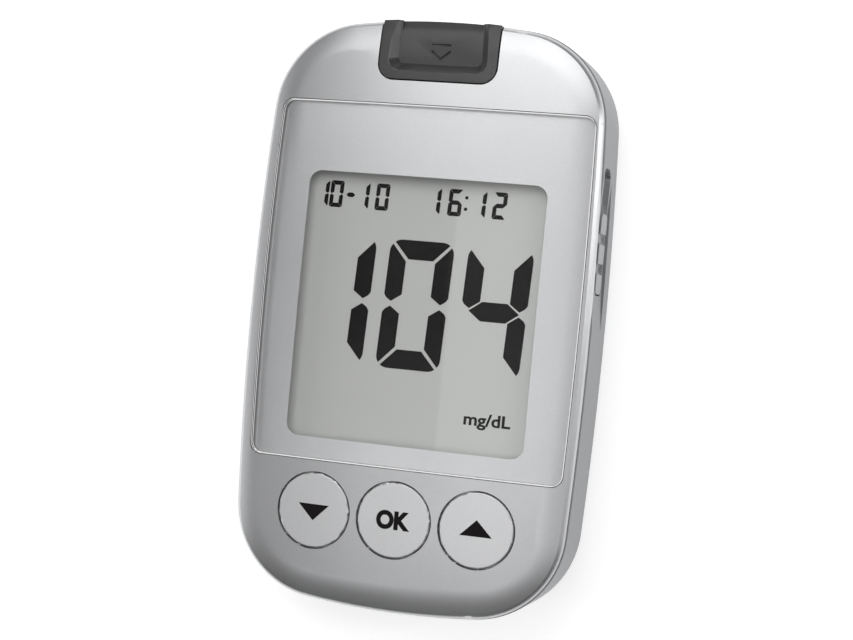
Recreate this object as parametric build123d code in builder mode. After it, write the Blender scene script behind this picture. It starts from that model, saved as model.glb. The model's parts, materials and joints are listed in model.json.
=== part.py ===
from build123d import *
import os
from math import cos, radians, sin

os.makedirs("parts", exist_ok=True)

# Blood glucose meter, lying on its back. Millimetres. The origin is the centre of the
# flat back, +Z points out of the display, +Y to the strip port, +X to the eject slider.

# ---------------------------------------------------------------- driving dimensions
# Case
case_length = 95.0
case_width = 56.6
front_depth = 7.4           # from the top of the board to the highest point of the front
corner_radius = 15.1
side_bulge = 1.4            # how far the long sides swell
end_bulge = 2.95            # how far the two ends swell
crown_across = 300.0        # radius of the front surface across the case
crown_along = 700.0         # radius of the front surface along the case
shoulder_radius = 20.0      # rounding of the front surface towards its edge
shoulder_width = 6.0        # how far in from the edge that rounding starts
rim_step = 0.2              # how far the front cover stands in from the back cover
rim_chamfer = 0.7
parting_drop = 3.8          # from the highest point of the front down to the parting line
parting_gap = 0.15
back_radius = 7.6           # rounding of the back edge
back_lip_radius = 0.3
back_wall = 1.8
front_wall = 1.8
lip_thickness = 0.8
lip_gap = 0.12
lip_depth = 1.5

# Display
lens_side_border = 2.4
lens_shift = 0.4            # the lens sits this much nearer to the slider's side
port_lens_gap = 4.0
key_lens_gap = 2.06
lens_bulge = 0.45
lens_corner = 1.8
lens_thickness = 1.2
lens_gap = 0.12
print_thickness = 0.1
tape_thickness = 0.15
tape_inset = 0.4
tape_width = 2.8
ledge_thickness = 1.15
ledge_key_gap = 0.16
lens_edge = 0.12
window_side_border = 6.15
window_top_border = 11.35
window_bottom_border = 3.55
window_corner = 2.1
opening_margin = 0.8        # the ledge's opening stays this far behind the printed edge
lcd_side_margin = 1.6
lcd_end_margin = 1.9
polariser_thickness = 0.2
glass_thickness = 0.7
reflector_thickness = 0.15
contact_ledge = 1.8         # strip of the front glass that carries the contact tracks
lcd_frame_wall = 1.1
lcd_frame_lip = 0.3
lcd_frame_overlap = 0.7
lcd_frame_gap = 0.1
lcd_frame_clearance = 0.2   # between the frame's corners and the ledge above them
zebra_width = 1.2

# Keys
key_side_border = 8.71      # from the case's side to the nearest key
key_spacing = 1.47          # between neighbouring keys
key_row_setback = 15.1
key_gap = 0.22
key_flange = 0.4
key_flange_gap = 0.15
key_edge = 0.25
key_stem_radius = 2.0
key_stem_height = 0.4
key_travel = 0.5
switch_size = 4.6
switch_height = 2.0
plunger_radius = 1.5
plunger_height = 0.6
plunger_seat = 0.3
plunger_play = 0.1
plunger_clearance = 0.05

# Strip port
port_width = 19.5
port_length = 9.9
port_corner = 2.6
port_gap = 0.2
port_proud = 0.12
port_board_gap = 0.3        # between the connector and the port above it
port_rim = 1.65
port_slope = 1.15
port_floor_depth = 1.3
port_ramp_length = 2.0
port_ramp_drop = 1.1
port_flange = 1.2
port_recess_corner = 1.0
ramp_width = 13.4
nose_width = 14.0
nose_length = 2.9
nose_wall = 0.8
strip_width = 7.2
strip_gap = 1.0             # height of the strip's channel
mouth_width = 8.4
mouth_height = 1.6
mouth_depth = 1.4
mark_width = 3.1
mark_line = 0.28
mark_depth = 0.25
mark_setback = 3.9
mark_space = 0.75
mark_height = 1.3

# Strip connector and ejector
connector_width = 13.0
connector_length = 8.3
connector_setback = 3.3
connector_height = 3.4
contact_count = 5
contact_pitch = 1.2
contact_width = 0.5
contact_thickness = 0.2
contact_tail = 0.6
contact_rise = 0.35
contact_room = 0.9
strip_thickness = 0.4
strip_lift = 0.7
slot_setback = 19.65        # from the crossbar back to the slot's near end
slot_height = 5.0
slot_drop = 1.0             # the slot's centre lies this far below the slider's neck
slot_corner = 1.5
slot_floor = 1.5            # depth of the knob's pocket below the finger scallop
track_thickness = 1.0
track_border = 1.8
track_rim = 0.7
track_gap = 0.2
scallop_depth = 0.4
scallop_length = 26.4
scallop_reach = 3.9         # from the slot's centre down to the scallop's lower edge
knob_length = 12.7
knob_gap = 0.25
knob_proud = 0.3
knob_groove_radius = 0.85
knob_groove_count = 2
knob_pad_pitch = 4.7
knob_edge = 0.35
slider_travel = 7.0
neck_length = 5.0
neck_height = 1.4
neck_gap = 0.1
arm_width = 1.6
arm_height = 1.6
arm_board_gap = 0.3
arm_gap = 0.2
arm_overhang = 3.0
socket_depth = 0.8
crossbar_gap = 0.3
crossbar_width = 1.5
prong_width = 0.7
prong_thickness = 0.5
prong_length = 9.0
prong_gap = 0.1
spring_wire = 0.25
spring_radius = 0.85
spring_turns = 7
spring_x = 12.0
ear_setback = 4.95
ear_thickness = 1.0

# Board
board_thickness = 1.2
board_clearance = 0.1
board_inset = 3.7

# Batteries and their bay
cell_diameter = 10.5
cell_length = 43.6
cell_nub_diameter = 3.8
cell_nub_height = 0.9
cell_spacing = 0.5
cell_gap = 0.2
cell_edge = 0.4
bay_setback = 9.0
bay_wall = 1.0
bay_roof = 0.9
contact_spring_wire = 0.35
contact_spring_radius = 2.2
contact_spring_length = 2.9
contact_spring_turns = 4
contact_plate_size = 7.0
contact_plate_thickness = 0.3

# Battery door
door_thickness = 1.5
door_gap = 0.25
door_overlap = 0.5          # how far the door reaches past the bay on each side
door_corner = 1.5
door_seat_gap = 0.2
door_rib_width = 1.0
door_rib_height = 0.8
ledge_border = 1.2
ledge_top = 3.0
hinge_setback = 0.6
hinge_cheek = 0.8
hinge_radius = 1.2
hinge_pin_radius = 0.6
hinge_clearance = 0.05
hinge_pin_length = 1.2
latch_width = 8.0
latch_thickness = 0.5
latch_height = 3.0
latch_gap = 0.2
grip_count = 4
grip_pitch = 1.6
grip_depth = 0.3
grip_width = 12.0
grip_offset = 7.5
thumb_sphere = 8.0
thumb_depth = 0.8

# Screws and label
screw_side_setback = 7.7
screw_end_setback = 9.9
boss_radius = 2.1
boss_foot_radius = 3.0
boss_foot_height = 1.0
screw_head_radius = 1.75
screw_head_height = 1.2
screw_head_recess = 3.4
screw_shank_radius = 0.9
screw_hole_radius = 1.05
screw_bite = 2.7            # how far a screw reaches into the front cover
recess_radius = 2.0
thread_gap = 0.1
label_width = 23.0
label_end_margin = 2.4
label_door_gap = 4.9
label_thickness = 0.1
label_recess = 0.15
label_corner = 1.5

# Board parts
buzzer_radius = 5.0
buzzer_height = 2.6
buzzer_side_gap = 10.3
buzzer_screw_gap = 14.6
sound_hole_radius = 0.5
sound_ring_radius = 1.9
sound_hole_count = 6
chip_lift = 0.1
chip_thickness = 1.2
lead_length = 1.2
chips = [(2.0, 18.0, 8.0), (12.5, 17.5, 5.0), (2.0, 8.0, 4.0)]  # x, distance from bay, size
chip_lead_counts = [10, 6, 4]
passive_x = -8.0
passive_bay_gap = 18.0
passive_pitch = 1.8
passive_columns = 3
passive_rows = 4
passive_width = 0.8
passive_length = 1.6
crystal_x = 9.0
crystal_bay_gap = 10.0
crystal_radius = 1.0
crystal_length = 5.0

# ---------------------------------------------------------------- derived places
half_length = case_length / 2
half_width = case_width / 2

# Battery bay, which sets the height of the board and so the thickness of the case
cell_pitch = cell_diameter + cell_spacing
cell_center_z = door_thickness + cell_gap + cell_diameter / 2
bay_length = cell_length + cell_nub_height + contact_spring_length + 2 * contact_plate_thickness
bay_bottom_y = bay_setback - half_length
bay_center_y = bay_bottom_y + bay_length / 2
bay_top_y = bay_bottom_y + bay_length
bay_half_width = cell_pitch / 2 + cell_diameter / 2 + cell_gap
bay_ceiling = cell_center_z + cell_diameter / 2 + cell_gap
cell_start = bay_length / 2 - contact_plate_thickness - contact_spring_length
board_bottom = bay_ceiling + bay_roof + board_clearance
board_top = board_bottom + board_thickness
case_thickness = board_top + front_depth
apex = case_thickness
parting_height = apex - parting_drop
lip_inset = back_wall + lip_gap
inner_inset = lip_inset + lip_thickness

# Keys, lens and display
key_radius = (half_width - key_side_border - key_spacing) / 3
key_pitch = 2 * key_radius + key_spacing
key_row_y = key_row_setback - half_length
key_columns = {"down": -key_pitch, "ok": 0.0, "up": key_pitch}
key_places = [(key_x, key_row_y) for key_x in key_columns.values()]
plunger_top = board_top + switch_height + plunger_height
plunger_room = plunger_seat + key_travel + plunger_play
key_flange_bottom = plunger_top + key_stem_height
lens_top_border = port_length + port_lens_gap
lens_bottom_border = key_row_setback + key_radius + key_lens_gap
lens_width = case_width - 2 * lens_side_border
lens_length = case_length - lens_top_border - lens_bottom_border
lens_center_y = (lens_bottom_border - lens_top_border) / 2
lens_seat = lens_thickness + print_thickness + tape_thickness
ledge_bottom = lens_seat + ledge_thickness
ledge_margin = key_lens_gap - key_flange - ledge_key_gap
window_width = lens_width - 2 * window_side_border
window_length = lens_length - window_top_border - window_bottom_border
window_center_y = lens_center_y + (window_bottom_border - window_top_border) / 2
lcd_width = window_width + 2 * lcd_side_margin
lcd_length = window_length + 2 * lcd_end_margin
frame_hole_width = lcd_width + 2 * lcd_frame_gap
frame_hole_length = lcd_length + 2 * lcd_frame_gap
frame_corner_x = frame_hole_width / 2 + lcd_frame_wall
frame_corner_y = window_center_y + frame_hole_length / 2 + lcd_frame_wall
crown_drop_at_frame = frame_corner_x ** 2 / (2 * crown_across) + frame_corner_y ** 2 / (2 * crown_along)
frame_top = apex - ledge_bottom - crown_drop_at_frame - lcd_frame_clearance
lcd_top = frame_top - lcd_frame_lip
glass_top = lcd_top - polariser_thickness
rear_glass_top = glass_top - glass_thickness
lcd_bottom = rear_glass_top - glass_thickness - reflector_thickness

# Strip port and connector
port_inner_y = half_length - port_length
port_bottom = board_top + connector_height + port_board_gap
port_middle_y = half_length - port_length / 2
port_floor = apex - port_middle_y ** 2 / (2 * crown_along) - port_floor_depth
ramp_start = half_length - port_ramp_length
connector_end = half_length - connector_setback
connector_start = connector_end - connector_length
nose_start = half_length - nose_length
mouth_start = half_length - mouth_depth
mark_y = half_length - mark_setback

# Ejector: the arm on the board, the knob in its slot and the spring
crossbar_y = frame_corner_y + crossbar_gap
ear_y = connector_end - ear_setback
spring_length = ear_y - crossbar_y - crossbar_width
arm_bottom = board_top + arm_board_gap
arm_center_z = arm_bottom + arm_height / 2
slot_center_z = arm_center_z - slot_drop
slot_bottom_y = crossbar_y - slot_setback
slot_length = knob_length + slider_travel + 2 * knob_gap
slot_center_y = slot_bottom_y + slot_length / 2
knob_center_y = slot_bottom_y + knob_gap + knob_length / 2
scallop_bottom = slot_center_z - scallop_reach
side_swell_at_slot = side_bulge * (slot_center_y / half_length) ** 2
side_x = half_width - scallop_depth - side_swell_at_slot        # the wall in the scallop
scallop_radius = scallop_length ** 2 / (8 * scallop_depth) + scallop_depth / 2
pocket_floor_x = side_x - slot_floor
track_inner_x = pocket_floor_x - track_thickness
track_length = slot_length + 2 * track_border
track_top = slot_center_z + slot_height / 2 + track_rim
track_bottom = slot_center_z - slot_height / 2 - track_thickness
knob_outer_x = side_x + knob_proud
arm_outer_x = track_inner_x - arm_gap
arm_start = knob_center_y - neck_length / 2 - arm_overhang
arm_end = crossbar_y + crossbar_width
strip_floor = arm_bottom + strip_lift
strip_center_z = strip_floor + strip_gap / 2
nose_bottom = strip_center_z - mouth_height / 2 - nose_wall
prong_x = strip_width / 2 - prong_gap
contact_high = strip_floor + strip_gap + contact_rise
contact_low = strip_floor + strip_thickness + contact_thickness / 2
contact_columns = [contact_pitch * (i - (contact_count - 1) / 2) for i in range(contact_count)]

# Battery door
door_half_width = bay_half_width + door_overlap
door_bottom_y = bay_bottom_y - bay_wall - latch_thickness - latch_gap
hinge_y = bay_top_y + bay_wall + hinge_setback
hinge_z = hinge_radius
door_opening_width = 2 * (door_half_width + door_gap)
door_opening_length = hinge_y + hinge_radius - door_bottom_y + 2 * door_gap
door_center_y = (hinge_y + hinge_radius + door_bottom_y) / 2
hinge_housing_width = 2 * (door_half_width + hinge_pin_length + hinge_cheek)
latch_slot = latch_thickness + latch_gap + door_gap
latch_top = door_thickness + latch_height
grip_y = door_bottom_y + grip_offset

# Screws, label and board parts
screw_x = half_width - screw_side_setback
screw_y = half_length - screw_end_setback
screw_places = GridLocations(2 * screw_x, 2 * screw_y, 2, 2).locations
screw_tip = board_top + screw_bite
screw_length = screw_tip - screw_head_recess
crown_drop_at_screw = screw_y ** 2 / (2 * crown_along) + screw_x ** 2 / (2 * crown_across)
front_boss_top = apex - crown_drop_at_screw - front_wall / 2
label_start_y = hinge_y + hinge_radius + door_gap + label_door_gap
label_end_y = half_length - back_radius - label_end_margin
label_length = label_end_y - label_start_y
label_center_y = (label_start_y + label_end_y) / 2
buzzer_x = buzzer_side_gap - half_width
buzzer_y = screw_y - buzzer_screw_gap


# ---------------------------------------------------------------- shared shapes
def case_outline(inset):
    """The case's outline moved in by inset: four swelling sides and round corners."""
    tip_x = half_width - inset
    tip_y = half_length - inset
    corner_x = tip_x - side_bulge
    corner_y = tip_y - end_bulge
    with BuildSketch() as outline:
        with BuildLine():
            ThreePointArc((-corner_x, corner_y), (0, tip_y), (corner_x, corner_y))
            ThreePointArc((corner_x, corner_y), (tip_x, 0), (corner_x, -corner_y))
            ThreePointArc((corner_x, -corner_y), (0, -tip_y), (-corner_x, -corner_y))
            ThreePointArc((-corner_x, -corner_y), (-tip_x, 0), (-corner_x, corner_y))
        make_face()
        fillet(outline.vertices(), corner_radius - inset)
    return outline.sketch


def lens_outline(margin):
    """The lens's outline grown by margin: straight ends and slightly swelling sides."""
    left_x = lens_shift - lens_width / 2 - margin
    right_x = lens_shift + lens_width / 2 + margin
    top_y = lens_center_y + lens_length / 2 + margin
    bottom_y = lens_center_y - lens_length / 2 - margin
    with BuildSketch() as outline:
        with BuildLine():
            Line((left_x, top_y), (right_x, top_y))
            ThreePointArc((right_x, top_y), (right_x + lens_bulge, lens_center_y), (right_x, bottom_y))
            Line((right_x, bottom_y), (left_x, bottom_y))
            ThreePointArc((left_x, bottom_y), (left_x - lens_bulge, lens_center_y), (left_x, top_y))
        make_face()
        fillet(outline.vertices(), lens_corner + margin)
    return outline.sketch


def crowned_block():
    """Tall block whose top is the whole pillow-shaped front surface."""
    oversize = shoulder_radius - shoulder_width
    depth = 2 * case_thickness
    center_z = apex - crown_along
    sweep_angle = 12.0
    reach = case_width
    sag = reach ** 2 / (2 * crown_across)
    half_angle = radians(sweep_angle / 2)
    start = Plane(
        origin=(0, 0, center_z),
        x_dir=(1, 0, 0),
        z_dir=(0, -cos(half_angle), sin(half_angle)),
    )
    with BuildPart() as block:
        with BuildSketch(start):
            with BuildLine():
                low = crown_along - depth
                high = crown_along - sag
                Polyline((-reach, high), (-reach, low), (reach, low), (reach, high))
                Bezier((reach, high), (0, crown_along + sag), (-reach, high))
            make_face()
        revolve(axis=Axis((0, 0, center_z), (1, 0, 0)), revolution_arc=sweep_angle)
        with BuildSketch(Plane.XY.offset(-0.6 * case_thickness)):
            add(case_outline(-oversize))
        extrude(amount=depth, mode=Mode.INTERSECT)
        rounded = block.faces().sort_by(Axis.Z)[-1].edges()
        fillet(rounded, shoulder_radius)
    return block.part


crown = crowned_block()


def upright_faces(candidates):
    """The faces that stand upright, such as the walls of an extruded outline."""
    return candidates.filter_by(lambda face: abs(face.normal_at().Z) < 0.01)


def upper_edges(walls):
    """The highest edge of each wall."""
    return [wall.edges().sort_by(Axis.Z)[-1] for wall in walls]


def edges_above(walls, height):
    """Every edge of the walls that lies wholly above height and isn't upright."""
    edges = []
    for wall in walls:
        across = wall.edges().filter_by(Axis.Z, reverse=True)
        edges += [edge for edge in across if edge.bounding_box().min.Z > height]
    return edges


def under_crown(drop, mode):
    """Combine the open part with the space under the front surface lowered by drop."""
    with Locations((0, 0, -drop)):
        add(crown, mode=mode)


def port_outline(margin):
    """The port's outline grown by margin, running out past the end of the case."""
    half_x = port_width / 2 + margin
    inner_y = port_inner_y - margin
    outer_y = half_length + port_width / 2
    with BuildSketch() as outline:
        with Locations((0, (inner_y + outer_y) / 2)):
            Rectangle(2 * half_x, outer_y - inner_y)
        fillet(outline.vertices().group_by(Axis.Y)[0], port_corner + margin)
    return outline.sketch


def port_recess_outline(rim, corner):
    """The port's recess, rim inside its outline, running out past the end of the case."""
    half_x = port_width / 2 - rim
    inner_y = port_inner_y + rim
    outer_y = half_length + port_width / 2
    with BuildSketch() as outline:
        with Locations((0, (inner_y + outer_y) / 2)):
            Rectangle(2 * half_x, outer_y - inner_y)
        fillet(outline.vertices().group_by(Axis.Y)[0], corner)
    return outline.sketch


# ---------------------------------------------------------------- front cover
with BuildPart() as above_ledge:
    with BuildSketch(Plane.XY.offset(parting_height - 2 * lip_depth)):
        add(lens_outline(ledge_margin))
    extrude(amount=case_thickness)
    under_crown(ledge_bottom, Mode.SUBTRACT)

with BuildPart() as front_cavity:
    with BuildSketch(Plane.XY.offset(parting_height - 2 * lip_depth)):
        add(case_outline(inner_inset))
    extrude(amount=case_thickness)
    under_crown(front_wall, Mode.INTERSECT)
    add(above_ledge.part, mode=Mode.SUBTRACT)

with BuildPart() as lens_recess:
    with BuildSketch(Plane.XY.offset(parting_height - 2 * lip_depth)):
        add(lens_outline(lens_gap))
    extrude(amount=case_thickness)
    under_crown(lens_seat, Mode.SUBTRACT)

with BuildPart() as front_bosses:
    with BuildSketch(Plane.XY.offset(board_top)):
        with Locations(screw_places):
            Circle(boss_radius)
        add(case_outline(lip_inset), mode=Mode.INTERSECT)
    extrude(amount=front_boss_top - board_top)
    with BuildSketch(Plane.XY.offset(board_top)):
        with Locations(screw_places):
            Circle(screw_shank_radius + thread_gap)
    extrude(amount=screw_tip - board_top + thread_gap, mode=Mode.SUBTRACT)

with BuildPart() as front_cover:
    with BuildSketch(Plane.XY.offset(parting_height + parting_gap)):
        add(case_outline(rim_step))
    extrude(amount=case_thickness)
    under_crown(0, Mode.INTERSECT)
    rim_edges = edges_above(upright_faces(front_cover.faces()), parting_height + 2 * parting_gap)
    chamfer(rim_edges, rim_chamfer)
    with BuildSketch(Plane.XY.offset(parting_height - lip_depth)):
        add(case_outline(lip_inset))
    extrude(amount=lip_depth + rim_step)
    add(front_cavity.part, mode=Mode.SUBTRACT)
    add(front_bosses.part)
    add(lens_recess.part, mode=Mode.SUBTRACT)
    # window behind the lens
    with BuildSketch(Plane.XY.offset(board_top)):
        with Locations((0, window_center_y)):
            RectangleRounded(
                window_width + 2 * opening_margin,
                window_length + 2 * opening_margin,
                window_corner,
            )
    extrude(amount=case_thickness, mode=Mode.SUBTRACT)
    # key holes
    with BuildSketch(Plane.XY.offset(board_top)):
        with Locations(key_places):
            Circle(key_radius + key_gap)
    extrude(amount=case_thickness, mode=Mode.SUBTRACT)
    # notch for the strip port, with a narrower one below it for the port's nose
    with BuildSketch(Plane.XY.offset(port_bottom - port_gap)):
        add(port_outline(port_gap))
    extrude(amount=case_thickness, mode=Mode.SUBTRACT)
    with BuildSketch(Plane.XY.offset(nose_bottom - port_gap)):
        with Locations((0, nose_start + half_length / 2)):
            Rectangle(nose_width + 2 * port_gap, half_length + 2 * port_gap)
    extrude(amount=port_bottom - nose_bottom, mode=Mode.SUBTRACT)
    # room in the lip for the slider's track
    with BuildSketch(Plane.XY.offset(board_top)):
        with Locations((half_width, slot_center_y)):
            Rectangle(case_width - 2 * (track_inner_x - track_gap), track_length + 2 * track_gap)
    extrude(amount=track_top - board_top + track_gap, mode=Mode.SUBTRACT)
front_cover.part.label = "front_cover"
export_step(front_cover.part, "parts/front_cover.step")

# ---------------------------------------------------------------- back cover
with BuildPart() as back_cavity:
    with BuildSketch(Plane.XY.offset(back_wall)):
        add(case_outline(back_wall))
    extrude(amount=case_thickness)
    fillet(back_cavity.faces().sort_by(Axis.Z)[0].edges(), back_radius - back_wall)

with BuildPart() as back_shape:
    with BuildSketch():
        add(case_outline(0))
    extrude(amount=parting_height)
    fillet(back_shape.faces().sort_by(Axis.Z)[0].edges(), back_radius)
    fillet(back_shape.faces().sort_by(Axis.Z)[-1].edges(), back_lip_radius)

with BuildPart() as back_bosses:
    with BuildSketch():
        with Locations(screw_places):
            Circle(boss_foot_radius)
    extrude(amount=screw_head_recess + boss_foot_height)
    with BuildSketch():
        with Locations(screw_places):
            Circle(boss_radius)
    extrude(amount=board_bottom)
    add(back_shape.part, mode=Mode.INTERSECT)

with BuildPart() as back_cover:
    add(back_shape.part)
    add(back_cavity.part, mode=Mode.SUBTRACT)
    add(back_bosses.part)
    # battery bay, door ledge, hinge housing and latch housing
    with BuildSketch(Plane.XY.offset(back_wall / 2)):
        with Locations((0, bay_center_y)):
            Rectangle(2 * (bay_half_width + bay_wall), bay_length + 2 * bay_wall)
    extrude(amount=bay_ceiling + bay_roof - back_wall / 2)
    with BuildSketch(Plane.XY.offset(back_wall / 2)):
        with Locations((0, door_center_y)):
            Rectangle(door_opening_width + 2 * ledge_border, door_opening_length + 2 * ledge_border)
    extrude(amount=ledge_top - back_wall / 2)
    with BuildSketch(Plane.XY.offset(back_wall / 2)):
        with Locations((0, hinge_y)):
            Rectangle(hinge_housing_width, 2 * (hinge_radius + door_gap + ledge_border))
    extrude(amount=hinge_z + hinge_radius + door_gap + bay_wall - back_wall / 2)
    # inner wall that guides the slider
    with BuildSketch(Plane.XY.offset(track_bottom)):
        with Locations(((track_inner_x + side_x) / 2, slot_center_y)):
            Rectangle(side_x - track_inner_x, track_length)
    extrude(amount=track_top - track_bottom)
    # bay, door opening, hinge channel and latch slot
    with BuildSketch(Plane.XY.offset(-door_thickness)):
        with Locations((0, bay_center_y)):
            Rectangle(2 * bay_half_width, bay_length)
    extrude(amount=bay_ceiling + door_thickness, mode=Mode.SUBTRACT)
    with BuildSketch(Plane.XY.offset(-door_thickness)):
        with Locations((0, door_center_y)):
            RectangleRounded(door_opening_width, door_opening_length, door_corner)
    extrude(amount=2 * door_thickness + door_seat_gap, mode=Mode.SUBTRACT)
    with BuildSketch(Plane.XY.offset(-door_thickness)):
        with Locations((0, hinge_y)):
            Rectangle(door_opening_width, 2 * (hinge_radius + door_gap))
    extrude(amount=door_thickness + hinge_z + hinge_radius + door_gap, mode=Mode.SUBTRACT)
    with BuildSketch(Plane.XY.offset(-door_thickness)):
        with Locations((0, door_bottom_y + latch_slot / 2 - door_gap)):
            Rectangle(latch_width + 2 * door_gap, latch_slot)
    extrude(amount=door_thickness + latch_top + door_gap, mode=Mode.SUBTRACT)
    with Locations((-door_half_width, hinge_y, hinge_z), (door_half_width, hinge_y, hinge_z)):
        Cylinder(
            hinge_pin_radius + hinge_clearance,
            2 * (hinge_pin_length + 2 * hinge_clearance),
            rotation=(0, 90, 0),
            mode=Mode.SUBTRACT,
        )
    with Locations((0, door_bottom_y, thumb_depth - thumb_sphere)):
        Sphere(thumb_sphere, mode=Mode.SUBTRACT)
    # screw holes with head recesses, label recess, sound holes
    with BuildSketch(Plane.XY.offset(-back_wall)):
        with Locations(screw_places):
            Circle(screw_hole_radius)
    extrude(amount=case_thickness, mode=Mode.SUBTRACT)
    with BuildSketch():
        with Locations(screw_places):
            Circle(recess_radius)
    extrude(amount=screw_head_recess, mode=Mode.SUBTRACT)
    with BuildSketch():
        with Locations((0, label_center_y)):
            RectangleRounded(label_width, label_length, label_corner)
    extrude(amount=label_recess, mode=Mode.SUBTRACT)
    with BuildSketch():
        with Locations((buzzer_x, buzzer_y)):
            Circle(sound_hole_radius)
            with PolarLocations(sound_ring_radius, sound_hole_count):
                Circle(sound_hole_radius)
    extrude(amount=2 * back_wall, mode=Mode.SUBTRACT)
    # finger scallop, knob pocket and the slit for the knob's neck
    with BuildSketch(Plane.XY.offset(scallop_bottom)):
        with Locations((side_x + scallop_radius, slot_center_y)):
            Circle(scallop_radius)
    extrude(amount=case_thickness, mode=Mode.SUBTRACT)
    with BuildSketch(Plane.YZ.offset(pocket_floor_x)):
        with Locations((slot_center_y, slot_center_z)):
            RectangleRounded(slot_length, slot_height, slot_corner)
    extrude(amount=case_width, mode=Mode.SUBTRACT)
    with BuildSketch(Plane.YZ.offset(track_inner_x - track_thickness)):
        with Locations((knob_center_y + slider_travel / 2, arm_center_z)):
            Rectangle(neck_length + slider_travel + 2 * neck_gap, neck_height + 2 * neck_gap)
    extrude(amount=case_width, mode=Mode.SUBTRACT)
    # notch in the end wall for the port's nose
    with BuildSketch(Plane.XY.offset(nose_bottom - port_gap)):
        with Locations((0, nose_start + half_length / 2)):
            Rectangle(nose_width + 2 * port_gap, half_length + 2 * port_gap)
    extrude(amount=case_thickness, mode=Mode.SUBTRACT)
back_cover.part.label = "back_cover"
export_step(back_cover.part, "parts/back_cover.step")

# ---------------------------------------------------------------- lens and its layers
with BuildPart() as display_lens:
    with BuildSketch(Plane.XY.offset(board_top)):
        add(lens_outline(0))
    extrude(amount=case_thickness)
    under_crown(0, Mode.INTERSECT)
    under_crown(lens_thickness, Mode.SUBTRACT)
    chamfer(upper_edges(upright_faces(display_lens.faces())), lens_edge)
display_lens.part.label = "display_lens"
export_step(display_lens.part, "parts/display_lens.step")

with BuildPart() as lens_print:
    with BuildSketch(Plane.XY.offset(board_top)):
        add(lens_outline(0))
        with Locations((0, window_center_y)):
            RectangleRounded(window_width, window_length, window_corner, mode=Mode.SUBTRACT)
    extrude(amount=case_thickness)
    under_crown(lens_thickness, Mode.INTERSECT)
    under_crown(lens_thickness + print_thickness, Mode.SUBTRACT)
lens_print.part.label = "lens_print"
export_step(lens_print.part, "parts/lens_print.step")

with BuildPart() as lens_tape:
    with BuildSketch(Plane.XY.offset(board_top)):
        add(lens_outline(-tape_inset))
        with Locations((lens_shift, lens_center_y)):
            Rectangle(
                lens_width - 2 * (tape_inset + tape_width),
                lens_length - 2 * (tape_inset + tape_width),
                mode=Mode.SUBTRACT,
            )
    extrude(amount=case_thickness)
    under_crown(lens_thickness + print_thickness, Mode.INTERSECT)
    under_crown(lens_seat, Mode.SUBTRACT)
lens_tape.part.label = "lens_tape"
export_step(lens_tape.part, "parts/lens_tape.step")

# ---------------------------------------------------------------- display stack


def plate(width, length, bottom, thickness):
    """A flat rectangular plate centred on the window."""
    with BuildPart() as slab:
        with BuildSketch(Plane.XY.offset(bottom)):
            with Locations((0, window_center_y)):
                Rectangle(width, length)
        extrude(amount=thickness)
    return slab


lcd_polariser = plate(
    lcd_width - 2 * glass_thickness,
    lcd_length - 2 * glass_thickness,
    glass_top,
    polariser_thickness,
)
lcd_polariser.part.label = "lcd_polariser"
export_step(lcd_polariser.part, "parts/lcd_polariser.step")
lcd_front_glass = plate(lcd_width, lcd_length, rear_glass_top, glass_thickness)
lcd_front_glass.part.label = "lcd_front_glass"
export_step(lcd_front_glass.part, "parts/lcd_front_glass.step")
lcd_rear_glass = plate(
    lcd_width,
    lcd_length - 2 * contact_ledge,
    rear_glass_top - glass_thickness,
    glass_thickness,
)
lcd_rear_glass.part.label = "lcd_rear_glass"
export_step(lcd_rear_glass.part, "parts/lcd_rear_glass.step")
lcd_reflector = plate(
    lcd_width - 2 * glass_thickness,
    lcd_length - 2 * (contact_ledge + glass_thickness),
    lcd_bottom,
    reflector_thickness,
)
lcd_reflector.part.label = "lcd_reflector"
export_step(lcd_reflector.part, "parts/lcd_reflector.step")

with BuildPart() as lcd_frame:
    with BuildSketch(Plane.XY.offset(board_top)):
        with Locations((0, window_center_y)):
            Rectangle(frame_hole_width + 2 * lcd_frame_wall, frame_hole_length + 2 * lcd_frame_wall)
    extrude(amount=frame_top - board_top)
    with BuildSketch(Plane.XY.offset(board_top)):
        with Locations((0, window_center_y)):
            Rectangle(frame_hole_width, frame_hole_length)
    extrude(amount=frame_top - lcd_frame_lip - board_top, mode=Mode.SUBTRACT)
    with BuildSketch(Plane.XY.offset(board_top)):
        with Locations((0, window_center_y)):
            Rectangle(lcd_width - 2 * lcd_frame_overlap, lcd_length - 2 * lcd_frame_overlap)
    extrude(amount=case_thickness, mode=Mode.SUBTRACT)
lcd_frame.part.label = "lcd_frame"
export_step(lcd_frame.part, "parts/lcd_frame.step")

with BuildPart() as zebra_strips:
    with BuildSketch(Plane.XY.offset(board_top)):
        with Locations((0, window_center_y)):
            with GridLocations(0, lcd_length - contact_ledge, 1, 2):
                Rectangle(lcd_width - 2 * contact_ledge, zebra_width)
    extrude(amount=rear_glass_top - board_top)
zebra_strips.part.label = "zebra_strips"
export_step(zebra_strips.part, "parts/zebra_strips.step")

# ---------------------------------------------------------------- board and what it carries
with BuildPart() as main_board:
    with BuildSketch(Plane.XY.offset(board_bottom)):
        add(case_outline(board_inset))
        with Locations(screw_places):
            Circle(screw_hole_radius, mode=Mode.SUBTRACT)
    extrude(amount=board_thickness)
main_board.part.label = "main_board"
export_step(main_board.part, "parts/main_board.step")

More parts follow.
